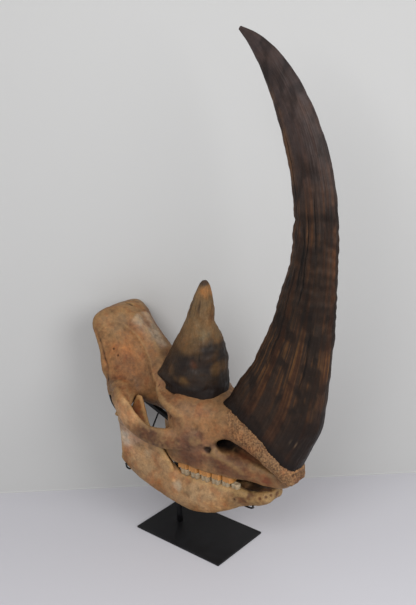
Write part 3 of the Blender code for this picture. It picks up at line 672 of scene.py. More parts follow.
# Cranium, right side; the left side mirrors it. A section's row holds x top, z top, x bottom,
# z bottom, then pairs of half width and thousandths of the way down. A rod's row holds x, y, z, half
# thickness and half height, and a ball has its centre and its radii.
cranium = {
    "voxel": 0.003,
    "rounds": 14,
    "jawGap": 0.0045,
    # Sections of the braincase and nose, from the occiput to the tip.
    "vault": mm(
        (-305, 652, -236, 405, 70, 10, 99, 100, 94, 400, 104, 680, 50, 970),
        (-286, 670, -222, 399, 72, 20, 98, 120, 98, 400, 110, 700, 55, 970),
        (-240, 674, -195, 400, 50, 10, 76, 150, 91, 420, 106, 720, 52, 980),
        (-192, 652, -162, 397, 28, 0, 54, 180, 85, 480, 98, 750, 45, 980),
        (-145, 608, -130, 392, 22, 0, 52, 200, 80, 500, 86, 740, 38, 980),
        (-100, 566, -95, 386, 30, 10, 58, 220, 74, 500, 66, 760, 32, 980),
        (-55, 532, -55, 376, 56, 60, 84, 280, 74, 520, 56, 780, 30, 980),
        (-10, 514, -10, 362, 80, 120, 112, 360, 92, 550, 64, 780, 32, 970),
        (35, 503, 35, 350, 84, 140, 117, 380, 106, 580, 80, 820, 36, 980),
        (80, 486, 80, 340, 70, 100, 100, 360, 100, 620, 86, 860, 40, 1000),
        (125, 470, 125, 338, 56, 80, 78, 340, 83, 600, 78, 860, 40, 1000),
        (165, 466, 165, 374, 54, 100, 74, 400, 76, 660, 66, 920, 35, 1000),
        (215, 455, 215, 364, 54, 120, 73, 420, 73, 680, 58, 920, 30, 1000),
        (265, 432, 265, 343, 53, 120, 71, 420, 69, 700, 52, 920, 28, 1000),
        (310, 384, 310, 310, 48, 100, 62, 380, 59, 680, 42, 920, 24, 1000),
        (345, 348, 340, 280, 34, 50, 48, 320, 46, 620, 32, 900, 18, 1000),
        (368, 336, 358, 286, 18, 60, 28, 320, 28, 620, 18, 900, 10, 1000),
    ),
    # The upper jaw below it, from behind the last molar to the tip of the premaxilla.
    "face": mm(
        (-60, 372, -56, 312, 30, 20, 56, 250, 74, 550, 77, 850, 60, 1000),
        (-36, 379, -33, 286, 38, 20, 66, 250, 84, 520, 89, 820, 78, 1000),
        (-10, 387, -6, 265, 48, 20, 80, 250, 94, 480, 91, 800, 80, 1000),
        (25, 395, 25, 267, 60, 20, 96, 250, 104, 480, 89, 780, 78, 1000),
        (70, 400, 70, 263, 60, 20, 94, 220, 98, 480, 85, 780, 74, 1000),
        (115, 395, 115, 264, 56, 20, 82, 250, 87, 500, 78, 780, 69, 1000),
        (155, 352, 155, 265, 50, 20, 72, 220, 78, 500, 71, 800, 63, 1000),
        (195, 334, 195, 266, 40, 20, 62, 220, 68, 500, 64, 800, 55, 1000),
        (235, 330, 235, 264, 30, 20, 50, 220, 54, 500, 50, 800, 38, 1000),
        (275, 322, 275, 257, 24, 20, 40, 220, 43, 500, 38, 800, 24, 1000),
        (312, 312, 312, 258, 18, 20, 30, 240, 33, 500, 28, 800, 16, 1000),
        (338, 300, 338, 270, 10, 20, 18, 240, 20, 500, 18, 800, 10, 1000),
    ),
    # The bone wall inside the nose.
    "septum": mm(
        (120, 400, 120, 330, 20, 50, 24, 500, 22, 750, 20, 900, 12, 1000),
        (200, 392, 200, 316, 20, 50, 16, 500, 16, 750, 20, 900, 12, 1000),
        (270, 368, 270, 300, 22, 50, 15, 500, 15, 750, 20, 900, 12, 1000),
        (336, 330, 336, 276, 24, 50, 20, 500, 18, 750, 16, 900, 10, 1000),
    ),
    # Rods and balls of bone.
    "cheekArch": mm(
        (-180, -122, 444, 22, 36), (-148, -144, 430, 16, 38), (-118, -154, 417, 13, 40),
        (-92, -156, 396, 11, 35), (-45, -152, 373, 12, 29), (5, -134, 364, 16, 31),
        (38, -104, 362, 20, 36), (68, -72, 358, 22, 34), (95, -44, 354, 16, 26),
    ),
    "squama": mm(
        (-246, -80, 452, 22, 26), (-216, -90, 455, 24, 29), (-186, -102, 457, 27, 30),
        (-156, -114, 453, 26, 28),
    ),
    "tearBone": mm(
        (4, -92, 458, 18, 26), (14, -93, 432, 19, 25), (24, -93, 405, 20, 24), (24, -92, 376, 21, 27),
    ),
    "cheekFill": mm((36, -87, 396), (48, 34, 54)),
    "cheekFront": mm((74, -78, 372), (38, 33, 40)),
    "archRoot": mm(
        (-172, -60, 464, 46, 34), (-166, -98, 449, 40, 32), (-152, -130, 437, 32, 34),
        (-142, -148, 427, 20, 32),
    ),
    "browEdge": mm(
        (-60, -74, 480, 14, 16), (-20, -100, 464, 14, 16), (25, -113, 448, 12, 16),
        (55, -104, 430, 12, 18), (60, -98, 400, 12, 20),
    ),
    "pterygoid": mm(
        (-60, -34, 378, 10, 20), (-38, -40, 348, 7, 22), (-22, -46, 318, 6, 20), (-5, -52, 300, 8, 14),
    ),
    "postglenoid": mm((-194, -90, 440, 14, 22), (-196, -86, 405, 10, 14), (-197, -84, 386, 6, 8)),
    "paroccipital": mm((-236, -86, 450, 18, 24), (-244, -82, 410, 12, 18), (-240, -76, 378, 6, 9)),
    "condyle": mm((-268, -42, 444), (32, 26, 36)),
    # Hollows: the palate, the pocket of the nose, the spinal cord's opening and the canal below the eye.
    "palate": mm(
        (-90, 0, 326, 34, 34), (-45, 0, 304, 36, 44), (10, 0, 276, 36, 32), (70, 0, 268, 34, 28),
        (130, 0, 265, 30, 24), (180, 0, 262, 24, 18), (212, 0, 260, 16, 10),
    ),
    "nostril": mm(
        (70, -28, 372, 12, 12), (110, -33, 368, 22, 22), (148, -40, 360, 26, 21),
        (178, -57, 355, 45, 19), (208, -61, 349, 48, 18), (245, -62, 340, 46, 14),
        (280, -60, 329, 44, 10), (306, -56, 319, 40, 8), (320, -52, 313, 34, 5),
    ),
    "noseSlot": mm(
        (175, -44, 343, 34, 7), (215, -46, 336, 38, 7), (260, -45, 324, 40, 6), (300, -42, 313, 38, 6),
        (316, -40, 309, 34, 4),
    ),
    "spinalHole": mm((-290, 0, 478), (60, 23, 21)),
    "canal": mm((120, -98, 343), (16, 28, 12.5)),
}

# The lower jaw, right side: body and tooth sockets as rods, chin, upright plates and joint.
mandible = {
    "voxel": 0.003,
    "rounds": 12,
    "body": mm(
        (-200, -100, 292, 8, 44), (-182, -98, 290, 13, 66), (-145, -94, 268, 16, 76),
        (-105, -88, 243, 19, 78), (-60, -79, 207, 23, 62), (-10, -71, 180, 26, 51),
        (40, -64, 173, 27, 54), (90, -56, 178, 26, 52), (140, -49, 192, 24, 44), (185, -42, 205, 21, 33),
        (222, -33, 208, 18, 23), (256, -26, 215, 16, 20), (277, -22, 224, 14, 18),
        (290, -16, 231, 9, 12),
    ),
    "sockets": mm(
        (-30, -68, 214, 17, 17), (40, -62, 213, 18, 17), (110, -56, 216, 17, 17),
        (170, -49, 220, 16, 16), (206, -44, 220, 14, 15), (224, -41, 218, 10, 12),
    ),
    # Ovals across both sides: x, z, half width and half height.
    "chin": mm(
        (140, 200, 20, 16), (180, 204, 34, 21), (220, 208, 38, 19), (255, 216, 34, 18),
        (278, 224, 29, 18), (291, 232, 19, 12),
    ),
    # Upright plates: rear x, front x, y, z and half thickness.
    "ramus": mm(
        (-176, -14, -83, 215, 16), (-202, -8, -88, 255, 13), (-206, -34, -96, 300, 11),
        (-206, -60, -103, 345, 10), (-200, -74, -105, 375, 9),
    ),
    "coronoid": mm(
        (-160, -72, -104, 350, 9), (-150, -82, -105, 395, 8), (-134, -92, -105, 430, 7),
        (-118, -99, -105, 455, 6),
    ),
    "neck": mm((-204, -140, -105, 350, 11), (-196, -150, -108, 376, 14), (-190, -158, -110, 388, 18)),
    # The joint's head, a rod as in the body.
    "jointRod": mm(
        (-174, -74, 388, 6.6, 5.8), (-174, -91, 388, 12.8, 11.1), (-174, -108, 388, 13.2, 11.5),
        (-174, -125, 389, 12.8, 11.1), (-174, -142, 389, 6.6, 5.8),
    ),
}

craniumLines = {
    # The edge of the jaw muscle's seat on the braincase, then that of the neck muscles.
    "temple": mm(
        (-274, -101, 604), (-263, -99, 620), (-246, -89, 636), (-226, -72, 644), (-201, -57, 632),
        (-173, -46, 610), (-142, -43, 579), (-112, -52, 543), (-81, -70, 501), (-54, -92, 482),
    ),
    "nape": mm(
        (-276, -100, 612), (-266, -100, 579), (-250, -102, 540), (-232, -105, 509), (-234, -106, 478),
        (-242, -98, 450), (-246, -96, 430),
    ),
    "crest": mm(
        (-196, -24, 654), (-184, -20, 647), (-164, -16, 628), (-141, -8, 606), (-118, -2, 584),
        (-96, -2, 564),
    ),
    "farEdge": mm((-213, 52, 653), (-187, 42, 635), (-159, 36, 608), (-126, 25, 587), (-97, 18, 564)),
    "crownSlit": mm((-256, 3, 676), (-242, 4, 673), (-228, 5, 670)),
    "browSlit": mm((-62, -82, 498), (-59, -83, 492), (-55, -87, 484)),
    "noseFloor": mm(
        (140, -32, 345), (180, -34, 340), (220, -34, 333), (260, -32, 322), (300, -28, 312),
        (320, -26, 308),
    ),
    "tearSlit": mm((-22, -110, 444), (-16, -112, 436), (-10, -112, 426)),
    "cheekEdge": mm((65, -109, 397), (101, -90, 370), (142, -77, 332), (191, -66, 313), (240, -51, 283)),
}
craniumLook = {
    "base": "7b5a3b",
    "patches": (
        (-200, -90, 580, 110, "956439", 0.75), (-225, -80, 640, 70, "806443", 0.7),
        (-240, 0, 670, 60, "866944", 0.6), (-270, -90, 560, 40, "8a6440", 0.6),
        (-180, -90, 530, 40, "745139", 0.5), (-150, -90, 480, 75, "70492a", 0.65),
        (-60, -80, 500, 35, "846043", 0.6), (-20, -150, 360, 70, "553a28", 1.0),
        (50, -120, 352, 45, "5c3f2c", 0.8), (-120, -160, 415, 60, "a67f59", 1.0),
        (40, -100, 440, 80, "77563a", 0.5), (120, -80, 400, 60, "8c6844", 0.6),
        (80, -90, 345, 70, "6d4c39", 0.75), (91, -95, 378, 26, "5a3f30", 0.6),
        (149, -78, 307, 30, "54392a", 0.6), (60, -85, 285, 50, "66402a", 0.6),
        (200, -65, 300, 70, "593824", 0.85), (260, -70, 390, 80, "7d5a3a", 0.6),
        (283, -40, 284, 26, "6b331d", 0.8), (225, -20, 350, 55, "764d34", 0.9),
        # These last three patches are painted shade: inside the nose, inside the canal below the eye, and
        # between the jaws behind the front teeth.
        (145, -20, 362, 60, "0d0806", 1.0), (120, -72, 343, 16, "1c110b", 0.9),
        (225, -18, 262, 34, "2a1c12", 0.8),
    ),
    "lines": (
        (craniumLines["crest"], 0.016, "a39480", 0.7),
        (craniumLines["farEdge"], 0.006, "704826", 0.6),
        (craniumLines["temple"], 0.005, "6a472c", 0.35),
        (craniumLines["nape"], 0.004, "563822", 0.5),
        # These four lines are painted shade, in the narrow slits and along the floor of the nose inside its
        # opening.
        (craniumLines["crownSlit"], 0.003, "332417", 0.8),
        (craniumLines["browSlit"], 0.0028, "2c1d12", 0.8),
        (craniumLines["tearSlit"], 0.0032, "24160e", 0.9),
        (craniumLines["noseFloor"], 0.006, "120b07", 0.8),
    ),
    "blotch": 0.05,
    "mottle": 0.6,
    "warm": (1.18, 0.95, 0.78, 1),
    "grey": (0.84, 0.92, 1.02, 1),
    "pore": 0.0032,
    "poreAmount": 0.6,
    "stretch": (1.0, 1.0, 1.0),
    "grainScale": 170.0,
    # Colours and shares of the painted shade in hollows and the painted highlight on ridges.
    "hollow": rgba("2b1b11"),
    "hollowShadeShare": 0.75,
    "ridge": rgba("9a7a4f"),
    "ridgeHighlightShare": 0.4,
    "poreColour": rgba("3c2819"),
    "poreShare": 0.75,
    "poreDepth": 1.5,
    "coarseScale": 420.0,
    "coarseShare": 2.0,
    "gloss": (0.52, 0.82),
    "shine": 0.28,
    # Painted highlight and painted shade for the ridges and grooves of the rough seat.
    "bossRidgeHighlight": "906844",
    "bossGrooveShade": "4b301d",
    "bump": 0.5,
    "bumpDepth": 0.0012,
}
mandibleLook = dict(
    craniumLook,
    base="997854",
    patches=(
        (-170, -100, 320, 80, "a98b72", 0.8), (-172, -112, 300, 28, "b9aa98", 0.7),
        (-100, -100, 240, 60, "9b7a55", 0.6), (-90, -110, 275, 26, "a59478", 0.6),
        (0, -90, 190, 70, "946f4a", 0.6), (10, -95, 200, 20, "a79a82", 0.55),
        (90, -80, 180, 70, "a98862", 0.65), (60, -70, 140, 45, "8a5c2e", 0.7),
        (-60, -90, 165, 40, "8a5c2e", 0.6), (-190, -100, 240, 40, "7d562f", 0.6),
        (170, -50, 185, 45, "7c5832", 0.6), (130, -50, 150, 40, "8a5f33", 0.6),
        # The second patch on this line is painted shade between the jaws behind the front teeth; the first
        # on the next line is painted shade in the joint's crevice under the cheek arch.
        (240, -40, 210, 80, "664427", 1.0), (222, -15, 226, 34, "332417", 0.85),
        (-172, -138, 393, 24, "55301a", 0.8), (290, -20, 235, 30, "53371f", 0.8),
        (-115, -105, 430, 85, "7c4620", 0.85),
    ),
    lines=(),
    # Painted shade in the jaw's hollows, painted highlight on its ridges.
    hollow=rgba("382417"),
    hollowShadeShare=0.6,
    ridge=rgba("b39461"),
)

craniumMarks = (
    (mm((-221, -92, 565)), 0.0032, -0.006),
    (mm((-205, -91, 548)), 0.0034, -0.006),
    (craniumLines["crownSlit"], 0.0032, -0.005),
    (craniumLines["nape"], 0.0055, -0.003),
    (mm((-290, -85, 640), (-283, -90, 600), (-272, -90, 560), (-255, -95, 510)), 0.011, 0.003),
    (craniumLines["temple"], 0.007, 0.003),
    (mm((-190, -86, 590)), 0.045, -0.002),
    (mm((-120, -72, 510)), 0.030, -0.003),
    (craniumLines["browSlit"], 0.003, -0.004),
    (craniumLines["tearSlit"], 0.0035, -0.005),
    (mm((13, -112, 421)), 0.0035, -0.004),
    (mm((-8, -110, 412)), 0.007, 0.002),
    (mm((2, -112, 392)), 0.006, 0.002),
    (craniumLines["cheekEdge"], 0.010, 0.002),
    (mm((374, -10, 336)), 0.010, 0.008),
    (mm((352, -24, 296)), 0.009, 0.007),
    (mm((362, -24, 318)), 0.006, -0.005),
    (mm((-30, -78, 502)), 0.028, -0.018),
    (mm((0, -86, 490)), 0.024, -0.010),
)
mandibleMarks = (
    (mm((191, -61, 204)), 0.0032, -0.005),
    (mm((288, -22, 234)), 0.0045, -0.005),
    (mm((278, -34, 230)), 0.004, -0.004),
    (mm((262, -38, 223)), 0.0035, -0.003),
    (mm((298, -12, 228)), 0.008, 0.003),
    (mm((284, -34, 221)), 0.007, 0.003),
)


def sideGrids(part, *names):
    grids = []
    for name in names:
        grids += bothSides(sweptOval(part[name]))
    return grids


boneSkin = {
    # Rows of height or strength, size of the grain, its layers and its seed.
    "waves": ((0.0012, 0.045, 3, 0), (0.0004, 0.009, 2, 5)),
    "roughWave": (0.0018, 0.02, 2, 14),
    "clouds": ((0.15, 0.016, 4, 21), (0.22, 0.055, 3, 23)),
    "worm": 0.0008,
    "wormSizes": (0.0040, 0.0022),
    "hollowDepth": 0.0016,
    "hollowTurns": 24,
    "redden": (-0.06, -0.20, -0.26),
    "darken": 0.28,
    "roughDarken": 0.25,
}


def grainRow(points, row, seed):
    strength, size, layers, shift = row
    return strength * layered(points, size, layers, seed + shift)


def finishBone(piece, look, marks, seed, rugged):
    # Displaces the skin by its marks and by noise, then stores how hollow each place is and its tint.
    mesh, skin = piece.data, boneSkin
    points, normals = readPoints(mesh), readPoints(mesh, "normal")
    height = applyMarks(points, marks)
    height += sum(grainRow(points, row, seed) for row in skin["waves"])
    area = rugged(points)
    broadWorm, fineWorm = (grain(points, size, seed + 9 + 3 * k) for k, size in enumerate(skin["wormSizes"]))
    worm = np.tanh(2.5 * broadWorm) + 0.5 * fineWorm
    height += area * (skin["worm"] * worm + grainRow(points, skin["roughWave"], seed))
    points = points + normals * height[:, None]
    writePoints(mesh, points)
    broad = neighbourMean(points, meshEnds(mesh), skin["hollowTurns"])
    hollow = np.einsum("ij,ij->i", broad - points, readPoints(mesh, "normal")) / skin["hollowDepth"]
    writeLayer(mesh, "hollow", np.clip(hollow, -1, 1))
    writeLayer(mesh, "rugose", area)
    tint = np.tile(linear(look["base"]), (len(points), 1))
    tint = paintPatches(points, tint, look["patches"], seed)
    tint = paintLines(points, tint, look["lines"])
    for row in skin["clouds"]:
        tint = tint * (1 + grainRow(points, row, seed))[:, None]
    reddened = ramp(layered(points, 0.032, 3, seed + 27), 0.0, 0.7)
    tint = tint * (1 + reddened[:, None] * skin["redden"])
    darkened = skin["darken"] * ramp(layered(points, 0.018, 4, seed + 31), 0.2, 0.9)
    tint = tint * (1 - darkened)[:, None]
    soiled = skin["roughDarken"] * area * ramp(layered(points, 0.02, 3, seed + 35), -0.2, 0.6)
    tint = tint * (1 - soiled)[:, None]
    # Painted highlight on the raised worm marks of the rough seat, painted shade in its grooves.
    tint = mixTint(tint, linear(look["bossRidgeHighlight"]), area * np.clip(worm, 0, 1) * 0.5)
    tint = mixTint(tint, linear(look["bossGrooveShade"]), area * np.clip(-worm, 0, 1) * 0.5)
    writeTint(mesh, tint)


def buildMandible(part):
    grids = sideGrids(part, "body", "sockets", "jointRod")
    for name in ("ramus", "coronoid", "neck"):
        grids += bothSides(uprightPlate(part[name]))
    turn = np.linspace(0, 2 * np.pi, 32, endpoint=False)
    x, z, halfWidth, halfHeight = (spline(part["chin"], 8)[:, k, None] for k in range(4))
    grids.append(np.stack([
        x + 0 * turn, halfWidth * np.cos(turn), z + halfHeight * np.sin(turn),
    ], axis=-1))
    return fuse("lowerJaw", grids, part)


def buildCranium(part, jaw):
    grids = [stationSurface(part[name]) for name in ("vault", "face", "septum")]
    grids += sideGrids(part, "cheekArch", "archRoot", "squama", "browEdge", "pterygoid")
    for name in ("postglenoid", "paroccipital", "tearBone"):
        grids += bothSides(sweptOval(part[name], upright=False))
    for name in ("condyle", "cheekFill", "cheekFront"):
        grids += bothSides(ballSurface(*part[name]))
    hollows = [sweptOval(part["palate"]), ballSurface(*part["spinalHole"])]
    hollows += sideGrids(part, "nostril", "noseSlot") + bothSides(ballSurface(*part["canal"]))
    carvers = [addPiece("hollow", surfaceMesh("hollow", [grid])) for grid in hollows]
    grown = addPiece("grownJaw", jaw.data.copy())
    writePoints(grown.data, readPoints(grown.data) + readPoints(grown.data, "normal") * part["jawGap"])
    return fuse("skull", grids, part, carvers + [grown])


bossSeat = {
    "rear": (0.159, 0.567, 0.468),  # x at that last z, and how far x moves forwards for each metre down
    "edgeX": (0.19, 0.213, 0.243, 0.28, 0.334, 0.36),
    "edgeZ": (0.40, 0.392, 0.370, 0.350, 0.296, 0.27),
    "crownX": 0.01,
    "crownReach": 0.09,
    "hidden": (0.037, 0.325),  # half width and front end of what the horn's middle covers
    "chin": (0.26, 0.29),
}


def bossArea(points):
    # The rough seat of the front horn, above the nostril's upper edge, and a weaker one under the
    # rear horn.
    x, y, z = points.T
    rearX, lean, rearZ = bossSeat["rear"]
    behind = x - (rearX + lean * (rearZ - z))
    lower = np.interp(x, bossSeat["edgeX"], bossSeat["edgeZ"])
    nose = ramp(behind, -0.006, 0.012) * ramp(z - lower, -0.006, 0.006)
    away = np.hypot(x - bossSeat["crownX"], y * 0.9)
    crown = 0.35 * bell(away, bossSeat["crownReach"]) * ramp(z, 0.46, 0.49)
    return np.clip(nose + crown, 0, 1)


def bossInSight(points):
    # The part of the rough seat that isn't covered by the middle of the front horn.
    halfWidth, front = bossSeat["hidden"]
    covered = (np.abs(points[:, 1]) < halfWidth) & (points[:, 0] < front)
    return (bossArea(points) > 0.4) & ~covered


def chinArea(points):
    return 0.35 * ramp(points[:, 0], *bossSeat["chin"])


lowerJaw = buildMandible(mandible)
skull = buildCranium(cranium, lowerJaw)
refine(skull.data, bossInSight(readPoints(skull.data)))
finishBone(lowerJaw, mandibleLook, mandibleMarks, 40, chinArea)
finishBone(skull, craniumLook, craniumMarks, 20, bossArea)
finishPiece(lowerJaw, boneMaterial("lower jaw bone", mandibleLook), "mandible")
finishPiece(skull, boneMaterial("skull bone", craniumLook), "cranium")
print("bones:", len(skull.data.polygons), "and", len(lowerJaw.data.polygons), "faces")

# Horns: x, z, half width fore and aft, half thickness and tilt of each section, base to tip.
frontHorn = {
    "name": "noseHorn",
    "stations": (
        (0.232, 0.378, 0.141, 0.055, 31.0),
        (0.264, 0.426, 0.132, 0.056, 27.0),
        (0.305, 0.500, 0.129, 0.053, 20.0),
        (0.342, 0.600, 0.107, 0.046, 13.0),
        (0.370, 0.700, 0.089, 0.039, 9.0),
        (0.390, 0.800, 0.076, 0.034, 5.0),
        (0.406, 0.900, 0.062, 0.030, 1.0),
        (0.409, 0.990, 0.058, 0.027, -5.0),
        (0.400, 1.080, 0.056, 0.025, -11.0),
        (0.377, 1.170, 0.053, 0.022, -19.0),
        (0.340, 1.260, 0.045, 0.019, -28.0),
        (0.291, 1.340, 0.033, 0.014, -38.0),
        (0.240, 1.396, 0.018, 0.008, -46.0),
        (0.198, 1.426, 0.005, 0.003, -52.0),
    ),
    "sides": 300,
    "along": 22,
    "rim": 0.03,
    "fibre": 0.0006,
    "lump": 0.0022,
    "ripple": (0.84, 0.22, 0.027, 0.0006),  # middle z, reach, pitch and height
    # Lumps and notches: degrees round the horn from its front, z, spread, reach in z and height.
    "lumps": (
        (205, 0.988, 30, 0.008, -0.004),
        (205, 0.960, 30, 0.016, 0.002),
        (205, 0.880, 30, 0.008, -0.002),
        (0, 1.306, 40, 0.020, 0.002),
        (0, 1.200, 40, 0.016, -0.001),
        (340, 0.450, 16, 0.012, 0.0015),
        (20, 0.430, 16, 0.010, -0.0015),
    ),
    # Cracks along the fibres: degrees round the horn, lowest and highest z, and depth.
    "cracks": (
        (266, 0.77, 1.03, 0.0024),
        (255, 0.80, 1.00, 0.0018),
        (260, 0.84, 0.95, 0.0014),
        (240, 0.62, 0.90, 0.0012),
        (286, 0.90, 1.07, 0.0012),
        (300, 0.55, 0.74, 0.0012),
        (228, 0.99, 1.20, 0.0010),
        (96, 0.78, 1.00, 0.0020),
        (122, 0.60, 0.86, 0.0012),
        (66, 0.88, 1.12, 0.0014),
    ),
    "seed": 60,
}
rearHorn = {
    "name": "browHorn",
    "stations": (
        (0.008, 0.462, 0.096, 0.078, 4.0),
        (0.007, 0.490, 0.099, 0.082, 3.0),
        (0.010, 0.520, 0.097, 0.081, 2.0),
        (0.021, 0.556, 0.089, 0.075, 0.0),
        (0.030, 0.603, 0.075, 0.063, -2.0),
        (0.037, 0.648, 0.055, 0.046, -4.0),
        (0.042, 0.692, 0.040, 0.035, -5.0),
        (0.049, 0.736, 0.029, 0.026, -7.0),
        (0.055, 0.766, 0.0205, 0.0185, -8.0),
        (0.058, 0.784, 0.0135, 0.012, -8.0),
        (0.0595, 0.793, 0.006, 0.0055, -8.0),
    ),
    "sides": 240,
    "along": 20,
    "rim": 0.03,
    "fibre": 0.0004,
    "lump": 0.0030,
    "ripple": (0.60, 0.05, 0.020, 0.0004),
    "lumps": (
        (224, 0.518, 14, 0.009, 0.006),
        (236, 0.494, 24, 0.010, -0.007),
        (250, 0.510, 10, 0.010, 0.004),
        (275, 0.505, 10, 0.010, -0.004),
        (305, 0.500, 12, 0.010, 0.004),
        (335, 0.500, 10, 0.010, -0.003),
        (0, 0.500, 12, 0.010, 0.004),
        (41, 0.678, 26, 0.010, -0.005),
        (41, 0.640, 26, 0.016, 0.003),
        (41, 0.570, 24, 0.014, 0.003),
        (120, 0.560, 20, 0.014, 0.006),
        (150, 0.510, 18, 0.012, -0.006),
        (80, 0.505, 12, 0.010, 0.004),
    ),
    "cracks": (
        (275, 0.690, 0.750, 0.0010),
        (310, 0.560, 0.620, 0.0008),
        (100, 0.600, 0.690, 0.0010),
    ),
    "seed": 80,
}


hornForm = {
    "fibreRadius": 0.05,
    "fibreGrain": 0.004,
    "lumpGrain": 0.03,
    "rimReach": 0.04,
    "crackWidth": 1.7,  # degrees
    "crackFade": 0.04,
    "fullThickness": 0.03,  # where the horn is thinner, its relief shrinks with it
}


def turnedFrom(turn, angle):
    # Degrees between each place round the horn and an angle, from 0 to 180.
    return np.abs((np.degrees(turn) - angle + 180) % 360 - 180)


def hornSurface(part):
    # An oval whose size, tilt and place follow a spline from base to tip. Noise drawn out along
    # the horn raises its fibres, slow waves give the growth swellings, and lumps and cracks are
    # bells of height round the horn and along it.
    rows = spline(part["stations"], part["along"])
    turn = np.linspace(0, 2 * np.pi, part["sides"], endpoint=False)
    x, z, half, thick, tilt = (rows[:, k, None] for k in range(5))
    tilt = np.radians(tilt)
    step = np.hypot(np.gradient(rows[:, 0]), np.gradient(rows[:, 1]))
    length = np.cumsum(step)[:, None] + 0 * turn
    side = np.sin(turn)[None]
    side = np.sign(side) * np.abs(side) ** (0.9 - 0.35 * np.exp(-length / 0.10))
    wave = 1 + part["rim"] * np.cos(5 * turn + 0.7)[None] * np.exp(-length / hornForm["rimReach"])
    around = np.stack([np.cos(turn) + 0 * length, np.sin(turn) + 0 * length, length], axis=-1)
    fibrePlace = around * hornForm["fibreRadius"]
    flat = fibrePlace.reshape(-1, 3)
    seed = part["seed"]
    relief = layered(flat, hornForm["fibreGrain"], 3, seed).reshape(length.shape) * part["fibre"]
    lump = layered(flat * (1, 1, 14), hornForm["lumpGrain"], 3, seed + 4).reshape(length.shape)
    relief = relief + part["lump"] * lump
    height = z - half * np.cos(turn)[None] * np.sin(tilt)
    for angle, level, spread, reach, rise in part["lumps"]:
        relief = relief + rise * bell(turnedFrom(turn, angle), spread) * bell(height - level, reach)
    level, reach, pitch, rise = part["ripple"]
    drift = 2.5 * grain(flat * (1, 1, 8), hornForm["lumpGrain"], seed + 7).reshape(length.shape)
    relief = relief + rise * np.sin(2 * np.pi * height / pitch + drift) * bell(height - level, reach)
    crack = np.zeros_like(relief)
    for angle, low, high, depth in part["cracks"]:
        wander = angle + 1.2 * np.sin(height * 45 + angle)
        fade = hornForm["crackFade"]
        opened = ramp(height, low, low + fade) * ramp(-height, -high, fade - high)
        line = bell(turnedFrom(turn, wander), hornForm["crackWidth"]) * opened
        relief = relief - depth * line
        crack = np.maximum(crack, line)
    relief = relief * np.clip(thick / hornForm["fullThickness"], 0.1, 1)
    ahead = (half * wave + relief) * np.cos(turn)[None]
    grid = np.stack([
        x + ahead * np.cos(tilt), (thick * wave + relief) * side, z - ahead * np.sin(tilt),
    ], axis=-1)
    values = np.concatenate([fibrePlace, (length / length[-1, 0])[..., None], crack[..., None]], axis=-1)
    return grid, values


def hornMaterial(name, look):
    # Horn: the painted tint, mottled, with darker streaks along the fibres and a faint sheen.
    made, tree, place, layer = startMaterial(name)
    drawn = useGroup(tree, grainGroup, {
        "Vector": layer("fibre", "Vector"), "Stretch": look["stretch"], "Scale": look["streakScale"],
    })
    share = times(tree, drawn["Streak"], look["streakShare"])
    colour = mixOf(tree, share, mottledTint(tree, place, layer, look), look["streak"], "MULTIPLY")
    gloss = rangeOf(tree, drawn["Streak"], 0.0, 1.0, *look["gloss"])
    endMaterial(tree, look, colour, gloss, drawn["Height"])
    return made


boneProfile = {
    "x": (0.0, 0.08, 0.125, 0.215, 0.265, 0.31, 0.345, 0.37),
    "z": (0.51, 0.486, 0.470, 0.455, 0.432, 0.384, 0.348, 0.33),
    "halfWidth": 0.07,
    "fall": 0.045,  # how far it drops from the middle to that half width
}


def boneTop(x, y):
    # How high the bone under the horns stands, roughly, for the dark rim.
    top = np.interp(x, boneProfile["x"], boneProfile["z"])
    return top - boneProfile["fall"] * (y / boneProfile["halfWidth"]) ** 2


# Near black painted shade inside the horn's cracks.
crackShadeColour = "0b0807"


def buildHorn(part, tintOf):
    grid, values = hornSurface(part)
    piece = addPiece(part["name"], surfaceMesh(part["name"], [grid]))
    mesh = piece.data
    # The two poles take the values of the first and last rings.
    values = np.concatenate([values.reshape(-1, values.shape[-1]), values[0, :1], values[-1, :1]])
    writeLayer(mesh, "fibre", values[:, :3], "FLOAT_VECTOR", "vector")
    tint = tintOf(readPoints(mesh), values[:, :3], values[:, 3])
    # Painted shade darkens the cracks.
    writeTint(mesh, mixTint(tint, linear(crackShadeColour), values[:, 4] * 0.95))
    return piece


frontColours = {
    "body": "2d2119",
    "rust": "402717",
    "gold": "6a4623",
    "rearEdge": "60432a",
    # The grey of the upper horn is painted sheen.
    "upper": "433836",
    "rim": "15100f",
    "scuff": "7a6650",
    "scuffPlace": (0.372, -0.036, 0.420),
    "scuffReach": 0.009,
    "ripple": (0.84, 0.2, 0.027, 0.16),  # middle z, reach, pitch and strength
    "bands": ((1.000, 0.014, 0.45), (0.840, 0.022, 0.35), (0.765, 0.030, 0.30), (1.330, 0.020, 0.35)),
}


